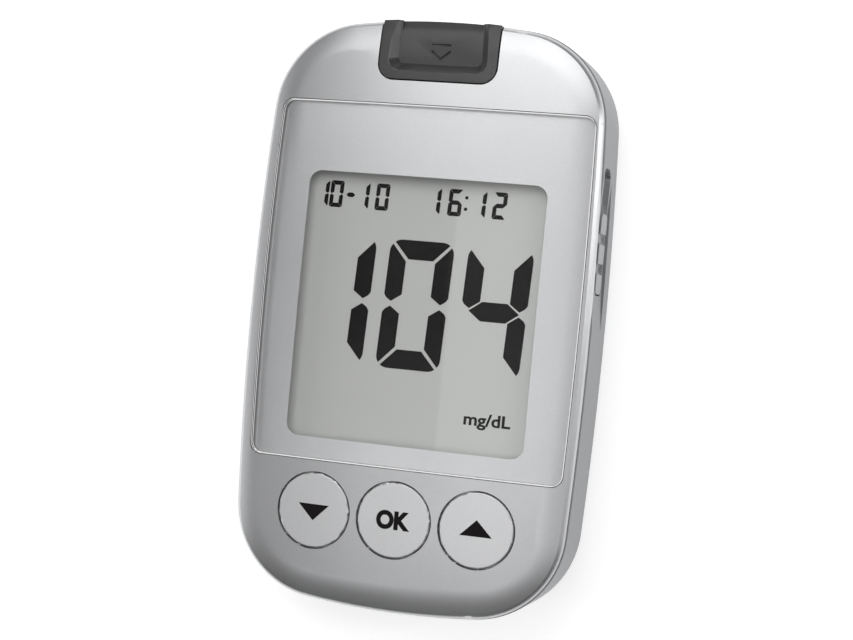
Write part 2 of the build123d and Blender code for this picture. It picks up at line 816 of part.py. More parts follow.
with BuildPart() as board_chips:
    for (chip_x, chip_bay_gap, chip_size), lead_count in zip(chips, chip_lead_counts):
        chip_y = bay_top_y + chip_bay_gap
        with BuildSketch(Plane.XY.offset(board_bottom - chip_lift)):
            with Locations((chip_x, chip_y)):
                Rectangle(chip_size, chip_size)
        extrude(amount=-chip_thickness)
        with BuildSketch(Plane.XY.offset(board_bottom)):
            with Locations((chip_x, chip_y)):
                with GridLocations(chip_size, chip_size / lead_count, 2, lead_count):
                    Rectangle(lead_length, chip_size / lead_count / 2)
                with GridLocations(chip_size / lead_count, chip_size, lead_count, 2):
                    Rectangle(chip_size / lead_count / 2, lead_length)
        extrude(amount=-chip_thickness / 2)
board_chips.part.label = "board_chips"
export_step(board_chips.part, "parts/board_chips.step")

with BuildPart() as board_passives:
    with BuildSketch(Plane.XY.offset(board_bottom)):
        with Locations((passive_x, bay_top_y + passive_bay_gap)):
            with GridLocations(passive_pitch, 2 * passive_pitch, passive_columns, passive_rows):
                Rectangle(passive_width, passive_length)
    extrude(amount=-passive_width)
    with Locations((crystal_x, bay_top_y + crystal_bay_gap, board_bottom - crystal_radius)):
        Cylinder(crystal_radius, crystal_length, rotation=(90, 0, 0))
board_passives.part.label = "board_passives"
export_step(board_passives.part, "parts/board_passives.step")

with BuildPart() as buzzer:
    with BuildSketch(Plane.XY.offset(board_bottom)):
        with Locations((buzzer_x, buzzer_y)):
            Circle(buzzer_radius)
    extrude(amount=-buzzer_height)
    fillet(buzzer.faces().sort_by(Axis.Z)[0].edges(), key_edge)
    with BuildSketch(Plane.XY.offset(board_bottom - buzzer_height)):
        with Locations((buzzer_x, buzzer_y)):
            Circle(2 * sound_hole_radius)
    extrude(amount=buzzer_height / 2, mode=Mode.SUBTRACT)
buzzer.part.label = "buzzer"
export_step(buzzer.part, "parts/buzzer.step")

# ---------------------------------------------------------------- keys and their switches
with BuildPart() as key_switches:
    with BuildSketch(Plane.XY.offset(board_top)):
        with Locations(key_places):
            Rectangle(switch_size, switch_size)
    extrude(amount=switch_height)
    with BuildSketch(Plane.XY.offset(board_top + switch_height)):
        with Locations(key_places):
            Circle(plunger_radius + plunger_clearance)
    extrude(amount=-plunger_room, mode=Mode.SUBTRACT)
key_switches.part.label = "key_switches"
export_step(key_switches.part, "parts/key_switches.step")

for key_name, key_x in key_columns.items():
    with BuildPart() as plunger:
        with BuildSketch(Plane.XY.offset(plunger_top)):
            with Locations((key_x, key_row_y)):
                Circle(plunger_radius)
        extrude(amount=-plunger_height - plunger_seat)
    plunger.part.label = "plunger_" + key_name
    export_step(plunger.part, f"parts/{plunger.part.label}.step")

    with BuildPart() as button:
        with BuildSketch(Plane.XY.offset(key_flange_bottom)):
            with Locations((key_x, key_row_y)):
                Circle(key_radius)
        extrude(amount=case_thickness - key_flange_bottom)
        under_crown(0, Mode.INTERSECT)
        chamfer(upper_edges(upright_faces(button.faces())), key_edge)
    with BuildPart() as flange:
        with BuildSketch(Plane.XY.offset(key_flange_bottom)):
            with Locations((key_x, key_row_y)):
                Circle(key_radius + key_flange)
        extrude(amount=case_thickness - key_flange_bottom)
        under_crown(front_wall + key_flange_gap, Mode.INTERSECT)
    with BuildPart() as key:
        add(button.part)
        add(flange.part)
        with BuildSketch(Plane.XY.offset(plunger_top)):
            with Locations((key_x, key_row_y)):
                Circle(key_stem_radius)
        extrude(amount=key_flange_bottom - plunger_top + key_edge)
    key.part.label = "button_" + key_name
    export_step(key.part, f"parts/{key.part.label}.step")

# ---------------------------------------------------------------- strip port and connector
with BuildPart() as port_flange_part:
    with BuildSketch(Plane.XY.offset(port_bottom)):
        add(port_outline(port_flange))
        add(case_outline(inner_inset + port_gap), mode=Mode.INTERSECT)
    extrude(amount=case_thickness)
    under_crown(front_wall + port_gap / 2, Mode.INTERSECT)

with BuildPart() as strip_port:
    with BuildSketch(Plane.XY.offset(port_bottom)):
        add(port_outline(0))
        add(case_outline(0), mode=Mode.INTERSECT)
    extrude(amount=case_thickness)
    under_crown(-port_proud, Mode.INTERSECT)
    # recess with sloping walls, open at the end of the case
    with BuildSketch(Plane.XY.offset(port_floor)):
        add(port_recess_outline(port_rim + port_slope, port_recess_corner))
    with BuildSketch(Plane.XY.offset(port_floor + 2 * port_floor_depth)):
        add(port_recess_outline(port_rim - port_slope, port_corner))
    loft(mode=Mode.SUBTRACT)
    # ramp that falls to the end face
    with BuildSketch(Plane.YZ):
        with BuildLine():
            Polyline(
                (ramp_start, port_floor),
                (ramp_start + 2 * port_ramp_length, port_floor - 2 * port_ramp_drop),
                (ramp_start + 2 * port_ramp_length, apex),
                (ramp_start, apex),
                close=True,
            )
        make_face()
    extrude(amount=ramp_width / 2, both=True, mode=Mode.SUBTRACT)
    add(port_flange_part.part)
    # nose with the strip's mouth
    with BuildSketch(Plane.XY.offset(nose_bottom)):
        with Locations((0, nose_start + half_length / 2)):
            Rectangle(nose_width, half_length)
        add(case_outline(0), mode=Mode.INTERSECT)
    extrude(amount=port_bottom - nose_bottom)
    with BuildSketch(Plane.XZ.offset(-nose_start)):
        with Locations((0, strip_center_z)):
            Rectangle(strip_width, strip_gap)
    extrude(amount=-case_length, mode=Mode.SUBTRACT)
    with BuildSketch(Plane.XZ.offset(-mouth_start)):
        with Locations((0, strip_center_z)):
            Rectangle(strip_width, strip_gap)
    with BuildSketch(Plane.XZ.offset(-half_length)):
        with Locations((0, strip_center_z)):
            Rectangle(mouth_width, mouth_height)
    loft(mode=Mode.SUBTRACT)
    # insertion mark: a bar above a chevron, cut into the floor
    with BuildSketch(Plane.XY.offset(port_floor)):
        with Locations((0, mark_y)):
            Rectangle(mark_width, mark_line)
        with BuildLine():
            Polyline(
                (-mark_width / 2, mark_y - mark_line - mark_space),
                (0, mark_y - mark_line - mark_space - mark_height),
                (mark_width / 2, mark_y - mark_line - mark_space),
            )
        trace(line_width=mark_line)
    extrude(amount=-mark_depth, mode=Mode.SUBTRACT)
strip_port.part.label = "strip_port"
export_step(strip_port.part, "parts/strip_port.step")

with BuildPart() as strip_connector:
    with BuildSketch(Plane.XY.offset(board_top)):
        with Locations((0, (connector_start + connector_end) / 2)):
            Rectangle(connector_width, connector_end - connector_start)
        with Locations((spring_x / 2, ear_y + ear_thickness / 2)):
            Rectangle(spring_x + 2 * spring_radius + spring_wire, ear_thickness)
    extrude(amount=connector_height)
    with BuildSketch(Plane.XZ.offset(-connector_start)):
        with Locations((0, strip_center_z)):
            Rectangle(strip_width, strip_gap)
        with Locations((0, strip_floor + strip_gap + contact_room / 2)):
            with GridLocations(contact_pitch, 0, contact_count, 1):
                Rectangle(contact_width + 2 * neck_gap, contact_room)
    extrude(amount=-case_length, mode=Mode.SUBTRACT)
strip_connector.part.label = "strip_connector"
export_step(strip_connector.part, "parts/strip_connector.step")

with BuildPart() as strip_contacts:
    for contact_x in contact_columns:
        with BuildSketch(Plane.YZ.offset(contact_x)):
            with BuildLine():
                Polyline(
                    (connector_start - contact_tail, board_top + contact_thickness / 2),
                    (connector_start - contact_thickness, board_top + contact_thickness / 2),
                    (connector_start - contact_thickness, contact_high),
                    (connector_end - 3 * contact_tail, contact_high),
                    (connector_end - 2 * contact_tail, contact_low),
                    (connector_end - contact_tail, contact_high),
                )
            trace(line_width=contact_thickness)
        extrude(amount=contact_width / 2, both=True)
strip_contacts.part.label = "strip_contacts"
export_step(strip_contacts.part, "parts/strip_contacts.step")

# ---------------------------------------------------------------- eject slider
with BuildPart() as eject_slider:
    with BuildSketch(Plane.XY.offset(slot_center_z)) as knob_plan:
        with Locations(((pocket_floor_x + knob_outer_x + knob_gap) / 2, knob_center_y)):
            Rectangle(knob_outer_x - pocket_floor_x - knob_gap, knob_length)
        with Locations((knob_outer_x + knob_groove_radius / 4, knob_center_y)):
            with GridLocations(0, knob_pad_pitch, 1, knob_groove_count):
                Circle(knob_groove_radius, mode=Mode.SUBTRACT)
    extrude(amount=slot_height / 2 - knob_gap, both=True)
    fillet(eject_slider.edges().filter_by(Axis.X).group_by(Axis.Y)[0], slot_corner - knob_gap)
    fillet(eject_slider.edges().filter_by(Axis.X).group_by(Axis.Y)[-1], slot_corner - knob_gap)
    with BuildSketch(Plane.YZ.offset(arm_outer_x - socket_depth)):
        with Locations((knob_center_y, arm_center_z)):
            Rectangle(neck_length, neck_height)
    extrude(amount=pocket_floor_x + knob_gap - arm_outer_x + socket_depth + knob_edge)
eject_slider.part.label = "eject_slider"
export_step(eject_slider.part, "parts/eject_slider.step")

with BuildPart() as ejector_arm:
    with BuildSketch(Plane.XY.offset(arm_bottom)):
        with Locations((arm_outer_x - arm_width / 2, (arm_start + arm_end) / 2)):
            Rectangle(arm_width, arm_end - arm_start)
        with Locations(((arm_outer_x - prong_x) / 2, crossbar_y + crossbar_width / 2)):
            Rectangle(arm_outer_x + prong_x, crossbar_width)
    extrude(amount=arm_height)
    with BuildSketch(Plane.XY.offset(strip_floor + neck_gap / 2)):
        with Locations((0, crossbar_y + (crossbar_width + prong_length) / 2)):
            with GridLocations(2 * prong_x - prong_width, 0, 2, 1):
                Rectangle(prong_width, crossbar_width + prong_length)
    extrude(amount=prong_thickness)
    with BuildSketch(Plane.YZ.offset(arm_outer_x)):
        with Locations((knob_center_y, arm_center_z)):
            Rectangle(neck_length + neck_gap, neck_height + neck_gap / 2)
    extrude(amount=-socket_depth - neck_gap / 2, mode=Mode.SUBTRACT)
ejector_arm.part.label = "ejector_arm"
export_step(ejector_arm.part, "parts/ejector_arm.step")


def coil(center, direction, radius, wire, length, turns):
    """A helical spring of round wire that starts at center and runs along direction."""
    path = Helix(
        pitch=(length - wire) / turns,
        height=length - wire,
        radius=radius,
        center=center + direction * (wire / 2),
        direction=direction,
    )
    with BuildPart() as spring:
        with BuildSketch(Plane(origin=path @ 0, z_dir=path % 0)):
            Circle(wire / 2)
        sweep(path=path, is_frenet=True)
    return spring.part


with BuildPart() as ejector_spring:
    add(
        coil(
            Vector(spring_x, crossbar_y + crossbar_width, arm_center_z),
            Vector(0, 1, 0),
            spring_radius,
            spring_wire,
            spring_length,
            spring_turns,
        )
    )
ejector_spring.part.label = "ejector_spring"
export_step(ejector_spring.part, "parts/ejector_spring.step")

# ---------------------------------------------------------------- batteries and contacts
for cell_name, cell_x, cell_turn in (("left", -cell_pitch / 2, 1), ("right", cell_pitch / 2, -1)):
    cell_plane = Plane(
        origin=(cell_x, bay_center_y - cell_turn * cell_start, cell_center_z),
        z_dir=(0, cell_turn, 0),
    )
    with BuildPart() as cell:
        with BuildSketch(cell_plane):
            Circle(cell_diameter / 2)
        extrude(amount=cell_length)
        chamfer(cell.edges(), cell_edge)
        with BuildSketch(cell_plane.offset(cell_length)):
            Circle(cell_nub_diameter / 2)
        extrude(amount=cell_nub_height)
    cell.part.label = "battery_" + cell_name
    export_step(cell.part, f"parts/{cell.part.label}.step")

with BuildPart() as battery_plates:
    with BuildSketch(Plane.XZ.offset(-bay_bottom_y)):
        with Locations((0, cell_center_z)):
            with GridLocations(cell_pitch, 0, 2, 1):
                Rectangle(contact_plate_size, contact_plate_size)
    extrude(amount=-contact_plate_thickness)
    with BuildSketch(Plane.XZ.offset(-bay_top_y)):
        with Locations((0, cell_center_z)):
            with GridLocations(cell_pitch, 0, 2, 1):
                Rectangle(contact_plate_size, contact_plate_size)
    extrude(amount=contact_plate_thickness)
battery_plates.part.label = "battery_plates"
export_step(battery_plates.part, "parts/battery_plates.step")

with BuildPart() as battery_springs:
    for cell_x, cell_turn in ((-cell_pitch / 2, 1), (cell_pitch / 2, -1)):
        add(
            coil(
                Vector(
                    cell_x,
                    bay_center_y - cell_turn * (bay_length / 2 - contact_plate_thickness),
                    cell_center_z,
                ),
                Vector(0, cell_turn, 0),
                contact_spring_radius,
                contact_spring_wire,
                contact_spring_length,
                contact_spring_turns,
            )
        )
battery_springs.part.label = "battery_springs"
export_step(battery_springs.part, "parts/battery_springs.step")

# ---------------------------------------------------------------- battery door
with BuildPart() as battery_door:
    with BuildSketch():
        with Locations((0, (door_bottom_y + hinge_y) / 2)):
            Rectangle(2 * door_half_width, hinge_y - door_bottom_y)
        fillet(vertices().group_by(Axis.Y)[0], door_corner - door_gap)
    extrude(amount=door_thickness)
    with Locations((0, hinge_y, hinge_z)):
        Cylinder(hinge_radius, 2 * door_half_width, rotation=(0, 90, 0))
        Cylinder(
            hinge_pin_radius,
            2 * (door_half_width + hinge_pin_length),
            rotation=(0, 90, 0),
        )
    add(back_shape.part, mode=Mode.INTERSECT)
    # stiffening rib between the cells
    with BuildSketch(Plane.XY.offset(door_thickness)):
        with Locations((0, bay_center_y)):
            Rectangle(door_rib_width, bay_length - 2 * latch_width)
    extrude(amount=door_rib_height)
    # latch tongue
    with BuildSketch(Plane.XY.offset(door_thickness)):
        with Locations((0, door_bottom_y + latch_thickness / 2)):
            Rectangle(latch_width, latch_thickness)
    extrude(amount=latch_height)
    # thumb recess and grip grooves
    with Locations((0, door_bottom_y, thumb_depth - thumb_sphere)):
        Sphere(thumb_sphere, mode=Mode.SUBTRACT)
    with Locations((0, grip_y, 0)):
        with GridLocations(0, grip_pitch, 1, grip_count):
            Box(grip_width, grip_pitch / 2, 2 * grip_depth, mode=Mode.SUBTRACT)
battery_door.part.label = "battery_door"
export_step(battery_door.part, "parts/battery_door.step")

# ---------------------------------------------------------------- screws and label
with BuildPart() as case_screws:
    with BuildSketch(Plane.XY.offset(screw_head_recess)):
        with Locations(screw_places):
            Circle(screw_head_radius)
    extrude(amount=-screw_head_height)
    fillet(case_screws.faces().sort_by(Axis.Z)[0:4].edges(), screw_head_height / 3)
    with BuildSketch(Plane.XY.offset(screw_head_recess)):
        with Locations(screw_places):
            Circle(screw_shank_radius)
    extrude(amount=screw_length)
    with BuildSketch(Plane.XY.offset(screw_head_recess - screw_head_height)):
        with Locations(screw_places):
            Rectangle(screw_head_radius, screw_head_radius / 4)
            Rectangle(screw_head_radius / 4, screw_head_radius)
    extrude(amount=screw_head_height / 2, mode=Mode.SUBTRACT)
case_screws.part.label = "case_screws"
export_step(case_screws.part, "parts/case_screws.step")

with BuildPart() as rating_label:
    with BuildSketch(Plane.XY.offset(label_recess)):
        with Locations((0, label_center_y)):
            RectangleRounded(
                label_width - 2 * label_thickness,
                label_length - 2 * label_thickness,
                label_corner - label_thickness,
            )
    extrude(amount=-label_thickness)
rating_label.part.label = "rating_label"
export_step(rating_label.part, "parts/rating_label.step")
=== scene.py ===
import json
from math import cos, pi, radians, sin

import bpy
from mathutils import Matrix, Vector

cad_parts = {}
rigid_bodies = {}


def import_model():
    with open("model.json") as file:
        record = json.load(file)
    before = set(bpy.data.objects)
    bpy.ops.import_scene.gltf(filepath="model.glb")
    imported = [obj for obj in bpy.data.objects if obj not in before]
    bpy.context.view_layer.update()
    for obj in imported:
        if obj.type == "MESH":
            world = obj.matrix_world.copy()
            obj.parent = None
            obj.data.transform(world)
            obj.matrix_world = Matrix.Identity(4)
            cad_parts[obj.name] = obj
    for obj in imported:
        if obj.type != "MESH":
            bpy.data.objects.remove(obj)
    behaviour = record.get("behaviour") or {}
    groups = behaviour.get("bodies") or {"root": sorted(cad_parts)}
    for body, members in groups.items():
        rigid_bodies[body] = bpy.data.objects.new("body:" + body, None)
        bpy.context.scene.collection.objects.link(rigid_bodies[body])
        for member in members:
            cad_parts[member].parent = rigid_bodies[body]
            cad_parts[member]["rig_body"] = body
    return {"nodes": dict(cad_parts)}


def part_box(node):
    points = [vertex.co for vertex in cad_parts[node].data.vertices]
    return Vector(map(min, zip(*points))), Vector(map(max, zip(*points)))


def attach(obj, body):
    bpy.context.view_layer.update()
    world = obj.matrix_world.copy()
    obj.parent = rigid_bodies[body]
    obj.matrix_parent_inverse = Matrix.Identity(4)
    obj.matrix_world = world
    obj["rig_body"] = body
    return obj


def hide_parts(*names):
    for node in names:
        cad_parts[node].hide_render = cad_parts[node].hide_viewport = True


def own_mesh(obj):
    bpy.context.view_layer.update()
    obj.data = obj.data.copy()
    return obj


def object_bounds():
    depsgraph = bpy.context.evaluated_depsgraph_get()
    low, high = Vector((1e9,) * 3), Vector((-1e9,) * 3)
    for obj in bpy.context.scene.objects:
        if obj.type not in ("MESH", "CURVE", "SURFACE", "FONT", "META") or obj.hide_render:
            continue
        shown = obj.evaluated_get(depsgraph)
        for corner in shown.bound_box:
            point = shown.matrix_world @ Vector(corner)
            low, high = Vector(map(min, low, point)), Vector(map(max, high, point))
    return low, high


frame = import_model()
cad_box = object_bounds()

# Blood glucose meter, lying on its back. Metres. The origin is the centre of the back,
# +Z points out of the display, +Y to the strip port and +X to the eject slider.
MM = 0.001

# The front is a pillow: it falls away from its highest point in both directions, and
# rounds off towards the case's outline, which has four swelling sides and round corners.
CROWN_TOP = 22.0 * MM
CROWN_ACROSS = 300.0 * MM       # radius across the case
CROWN_ALONG = 700.0 * MM        # radius along the case
SHOULDER_RADIUS = 20.0 * MM
SHOULDER_WIDTH = 6.0 * MM
HALF_WIDTH = 28.3 * MM
HALF_LENGTH = 47.5 * MM
SIDE_RADIUS = 709.5 * MM        # of the swelling long sides
END_RADIUS = 124.1 * MM         # of the swelling ends
CORNER_CENTRE = Vector((12.48 * MM, 31.68 * MM))
CORNER_RADIUS = 15.1 * MM

# Smooth shading of the shells: what counts as lying on the front, running along it, or
# standing square to the case's outline. Leans and facings are parts of a normal of length 1.
ON_FRONT = 0.03 * MM
ALONG_FRONT = cos(radians(8))
STEEPEST_LEAN = 0.9             # of the front's shoulder
WALL_DEPTH = 3.5 * MM           # how far inside the outline a wall or a rounded edge may be
WALL_LEVEL = 0.1                # least level part of its normal
WALL_FACING = 0.98              # and how squarely that has to point out of the case
UPRIGHT_LEAN = 0.05             # walls that lean less than this are upright
RIM_LEAN = 0.7                  # how far the front's rim chamfer faces up
RIM_SPREAD = 0.15               # how far a face of the chamfer may lean otherwise
RIM_ROUND = 0.17                # how much its shading differs at its two edges
RIM_TOP = 0.1 * MM              # how far from the front its upper edge may lie
FLAT_BACK = -0.999              # faces that point down at least this squarely
SOFT_EDGE = 18.0                # degrees, below which two faces are shaded as one
MERGE_GAP = 0.0005 * MM
COPLANAR = 0.5                  # degrees, below which two faces become one

KNOB_ROUNDING = 0.12 * MM
PORT_RIM = 1.65 * MM            # width of the port's rim round its recess
PORT_SLOPE = 1.15 * MM          # width of the recess's slanted wall
PORT_ROUNDING = 0.2 * MM

# The clear lens and the silver print on its underside. Outlines are in millimetres.
LENS_THICKNESS = 1.2 * MM
LENS_CORNER = 1.8
LENS_SWELL = 0.45
LENS_EDGE = 0.28 * MM
PRINT_GAP = 0.02 * MM
PRINT_THICKNESS = 0.08 * MM
WINDOW_CORNER = 2.1
WINDOW_WIDTH = 39.5
WINDOW_LENGTH = 43.0
WINDOW_CENTRE = 0.75
CORNER_STEPS = 8                # straight pieces in an outline's round corner
OUTLINE_PITCH = 2.0             # rough length of an outline's other straight pieces
GRID_PITCH = 2.0                # the lens and its print are bent over a grid of this pitch
GRID_LINES = range(-15, 19)     # numbers of its lines, counted from the case's centre
GRID_SHIFT = 0.1                # all of them lie this far off, clear of the outline's corners
LENS_SMOOTH = 25.0              # degrees, below which two faces are shaded as one
LENS_TOP = 0.95                 # faces of the lens that follow the front less are its edge,
LENS_WALL = 0.3                 # and those that hardly follow it are its wall

# Characters of the display, in millimetres. A digit's measures are those of a large one.
DIGIT_WIDTH = 10.65
DIGIT_HEIGHT = 20.7
DIGIT_CORNER = 2.0
DIGIT_SIDE = 2.9                # width of the upright bars
DIGIT_BAR = 3.1                 # height of the level bars
DIGIT_GAP = 0.38                # half of what lies between two bars, along the axes
DIGIT_LEAN = 0.037              # sideways shift for each millimetre of height
BAR_TIP = 0.42 * DIGIT_SIDE     # where an upright bar and the centre bar meet
BAR_END = 1.5                   # where an upright bar starts to narrow, above the middle
BAR_SHOULDER = (0.35, 0.95)     # and a corner on its way to the tip
SIDE_ARC = (38, 0)              # degrees of the round corner that belong to an upright bar
LEVEL_ARC = (52, 90)            # and to a level one
ARC_STEPS = 3
READING = (("1", -19.2), ("0", -6.25), ("4", 6.72))     # figures and their left edges
READING_FOOT = -8.5
SMALL_DIGITS = 0.207            # the date and time are this much of the large digits
SMALL_SWELL = 0.045             # and their bars are this much bolder on every side
DATE = (("1", -19.1), ("0", -16.65), ("1", -12.2), ("0", -8.85))
TIME = (("1", -0.2), ("6", 3.3), ("1", 7.25), ("2", 10.6))
SMALL_FOOT = 16.58
DASH = (-13.05, 18.72, 1.5, 0.85, 6)            # centre, width, height, number of corners
COLON = ((6.3, 19.62, 0.55, 0.55, 12), (6.27, 17.8, 0.55, 0.55, 12))
UNIT_HEIGHT = 2.6
UNIT_WIDTH = 7.6
UNIT_WEIGHT = 0.024             # how much bolder than plain letters
UNIT_PLACE = (9.22, -16.8)
INK_HEIGHT = 0.03 * MM
INK_GAP = 0.005 * MM            # between the film and the characters
# Painted reflection: the display's film is lighter to the right of this line
FILM_SHEEN = 5.0 * MM           # where the lighter part of the film starts

# Key symbols, in millimetres from the key's centre
ARROW_HALF = 2.62
ARROW_HEIGHT = 2.62
DOWN_BASE = 0.98
UP_BASE = -0.96
OK_HEIGHT = 3.05
OK_WIDTH = 5.6
OK_WEIGHT = 0.055
OK_PLACE = (-2.8, -1.53)
INK_SINK = 0.01 * MM            # how deep a symbol's back lies in the key

FLOOR_SIZE = 3.0
FLOOR_GAP = 0.02 * MM

# The room's brightness by direction, from -X to +X and from -Y to +Y
ROOM_ACROSS = [
    (0.0, 1.0),
    (0.11, 0.8),
    (0.16, 0.08),
    (0.26, 0.06),
    (0.34, 0.64),
    (0.46, 0.55),
    (0.56, 0.16),
    (1.0, 0.2),
]
ROOM_ALONG = [(0.0, 0.14), (0.33, 0.14), (0.38, 2.3), (0.43, 2.3), (0.5, 1.1), (1.0, 1.1)]


# ---------------------------------------------------------------- finishes
def new_material(name):
    """A material with an empty tree, its surface output and a Principled shader."""
    material = bpy.data.materials.new(name)
    material.use_nodes = True
    tree = material.node_tree
    tree.nodes.clear()
    output = tree.nodes.new("ShaderNodeOutputMaterial")
    shader = tree.nodes.new("ShaderNodeBsdfPrincipled")
    tree.links.new(shader.outputs["BSDF"], output.inputs["Surface"])
    return material, tree, shader


def node_of(material, kind):
    """A material's only node of a kind."""
    return next(node for node in material.node_tree.nodes if node.type == kind)


def grain(tree, scale, detail=2.0, stretch=(1, 1, 1)):
    """Noise on the piece's own coordinates, finer with a larger scale."""
    place = tree.nodes.new("ShaderNodeTexCoord")
    turn = tree.nodes.new("ShaderNodeMapping")
    turn.inputs["Scale"].default_value = stretch
    noise = tree.nodes.new("ShaderNodeTexNoise")
    noise.inputs["Scale"].default_value = scale
    noise.inputs["Detail"].default_value = detail
    tree.links.new(place.outputs["Object"], turn.inputs["Vector"])
    tree.links.new(turn.outputs["Vector"], noise.inputs["Vector"])
    return noise.outputs["Fac"]


def along(tree, axis, start, end):
    """0 at start and 1 at end, in metres along an axis of the piece's own coordinates."""
    place = tree.nodes.new("ShaderNodeTexCoord")
    parts = tree.nodes.new("ShaderNodeSeparateXYZ")
    span = tree.nodes.new("ShaderNodeMapRange")
    span.inputs["From Min"].default_value = start
    span.inputs["From Max"].default_value = end
    tree.links.new(place.outputs["Object"], parts.inputs["Vector"])
    tree.links.new(parts.outputs[axis], span.inputs["Value"])
    return span.outputs["Result"]


def ramp(tree, value, stops, sharp=False):
    """Colours along a value: stops are (position, colour)."""
    node = tree.nodes.new("ShaderNodeValToRGB")
    if sharp:
        node.color_ramp.interpolation = "CONSTANT"
    node.color_ramp.elements.remove(node.color_ramp.elements[1])
    for index, (position, colour) in enumerate(stops):
        if index == 0:
            stop = node.color_ramp.elements[0]
            stop.position = position
        else:
            stop = node.color_ramp.elements.new(position)
        stop.color = (*colour, 1)
    tree.links.new(value, node.inputs["Fac"])
    return node.outputs["Color"]


def spread(tree, value, low, high):
    """The value's usual range, 0.3 to 0.7 for noise, stretched between low and high."""
    node = tree.nodes.new("ShaderNodeMapRange")
    node.inputs["From Min"].default_value = 0.3
    node.inputs["From Max"].default_value = 0.7
    node.inputs["To Min"].default_value = low
    node.inputs["To Max"].default_value = high
    tree.links.new(value, node.inputs["Value"])
    return node.outputs["Result"]


def bump(tree, shader, value, depth):
    """Bump of the given depth in metres."""
    node = tree.nodes.new("ShaderNodeBump")
    node.inputs["Strength"].default_value = 1.0
    node.inputs["Distance"].default_value = depth
    tree.links.new(value, node.inputs["Height"])
    tree.links.new(node.outputs["Normal"], shader.inputs["Normal"])


def grey(level):
    """A neutral colour."""
    return (level, level, level)


def shades(colour, low, high):
    """A darker and a lighter shade of a colour, as stops for a ramp over noise."""
    return [(0.3, tuple(low * c for c in colour)), (0.7, tuple(high * c for c in colour))]


def silver_paint(name, colour, metal, roughness, coat):
    """Silver lacquer: fine flakes of differing brightness under a clear coat."""
    material, tree, shader = new_material(name)
    flakes = grain(tree, 9000, 1.0)
    tree.links.new(ramp(tree, flakes, shades(colour, 0.94, 1.05)), shader.inputs["Base Color"])
    worn = spread(tree, grain(tree, 60, 3.0), roughness * 0.94, roughness * 1.06)
    tree.links.new(worn, shader.inputs["Roughness"])
    shader.inputs["Metallic"].default_value = metal
    shader.inputs["Coat Weight"].default_value = coat
    shader.inputs["Coat Roughness"].default_value = 0.1
    bump(tree, shader, flakes, 0.0000015)
    return material


def moulded(name, colour, roughness, texture=2500, depth=0.000006):
    """Moulded plastic with the fine texture of a spark-eroded tool."""
    material, tree, shader = new_material(name)
    tint = ramp(tree, grain(tree, 220, 3.0), shades(colour, 0.94, 1.05))
    tree.links.new(tint, shader.inputs["Base Color"])
    worn = spread(tree, grain(tree, 400, 2.0), roughness * 0.9, roughness * 1.1)
    tree.links.new(worn, shader.inputs["Roughness"])
    bump(tree, shader, grain(tree, texture, 2.0), depth)
    return material


def plated(name, colour, roughness, stretch=(1, 1, 1)):
    """Bare or plated metal with fine drawing lines along one direction."""
    material, tree, shader = new_material(name)
    lines = grain(tree, 3000, 2.0, stretch)
    tree.links.new(ramp(tree, lines, shades(colour, 0.85, 1.1)), shader.inputs["Base Color"])
    worn = spread(tree, grain(tree, 500, 2.0), roughness * 0.8, roughness * 1.2)
    tree.links.new(worn, shader.inputs["Roughness"])
    shader.inputs["Metallic"].default_value = 1.0
    bump(tree, shader, lines, 0.000003)
    return material


def clear_plastic(name, tint):
    """Clear moulded sheet. Only the camera's own rays bend in it, so what lies behind is lit."""
    material, tree, shader = new_material(name)
    shader.inputs["Base Color"].default_value = (*tint, 1)
    shader.inputs["Transmission Weight"].default_value = 1.0
    shader.inputs["IOR"].default_value = 1.3
    shader.inputs["Roughness"].default_value = 0.02
    bump(tree, shader, grain(tree, 80, 2.0), 0.0000004)
    output = node_of(material, "OUTPUT_MATERIAL")
    path = tree.nodes.new("ShaderNodeLightPath")
    through = tree.nodes.new("ShaderNodeBsdfTransparent")
    through.inputs["Color"].default_value = (*tint, 1)
    mix = tree.nodes.new("ShaderNodeMixShader")
    tree.links.new(path.outputs["Is Camera Ray"], mix.inputs["Fac"])
    tree.links.new(through.outputs["BSDF"], mix.inputs[1])
    tree.links.new(shader.outputs["BSDF"], mix.inputs[2])
    tree.links.new(mix.outputs["Shader"], output.inputs["Surface"])
    return material


def circuit_board(name):
    """Green solder mask with raised copper tracks under it."""
    material, tree, shader = new_material(name)
    place = tree.nodes.new("ShaderNodeTexCoord")
    tracks = tree.nodes.new("ShaderNodeTexBrick")
    tracks.offset = 0.35
    tracks.inputs["Scale"].default_value = 260.0
    tracks.inputs["Mortar Size"].default_value = 0.06
    tracks.inputs["Mortar Smooth"].default_value = 0.3
    tracks.inputs["Color1"].default_value = (0.012, 0.11, 0.035, 1)
    tracks.inputs["Color2"].default_value = (0.016, 0.14, 0.045, 1)
    tracks.inputs["Mortar"].default_value = (0.04, 0.24, 0.08, 1)
    tree.links.new(place.outputs["Object"], tracks.inputs["Vector"])
    tree.links.new(tracks.outputs["Color"], shader.inputs["Base Color"])
    worn = spread(tree, grain(tree, 300, 2.0), 0.3, 0.42)
    tree.links.new(worn, shader.inputs["Roughness"])
    shader.inputs["Coat Weight"].default_value = 0.3
    bump(tree, shader, tracks.outputs["Fac"], 0.00002)
    return material


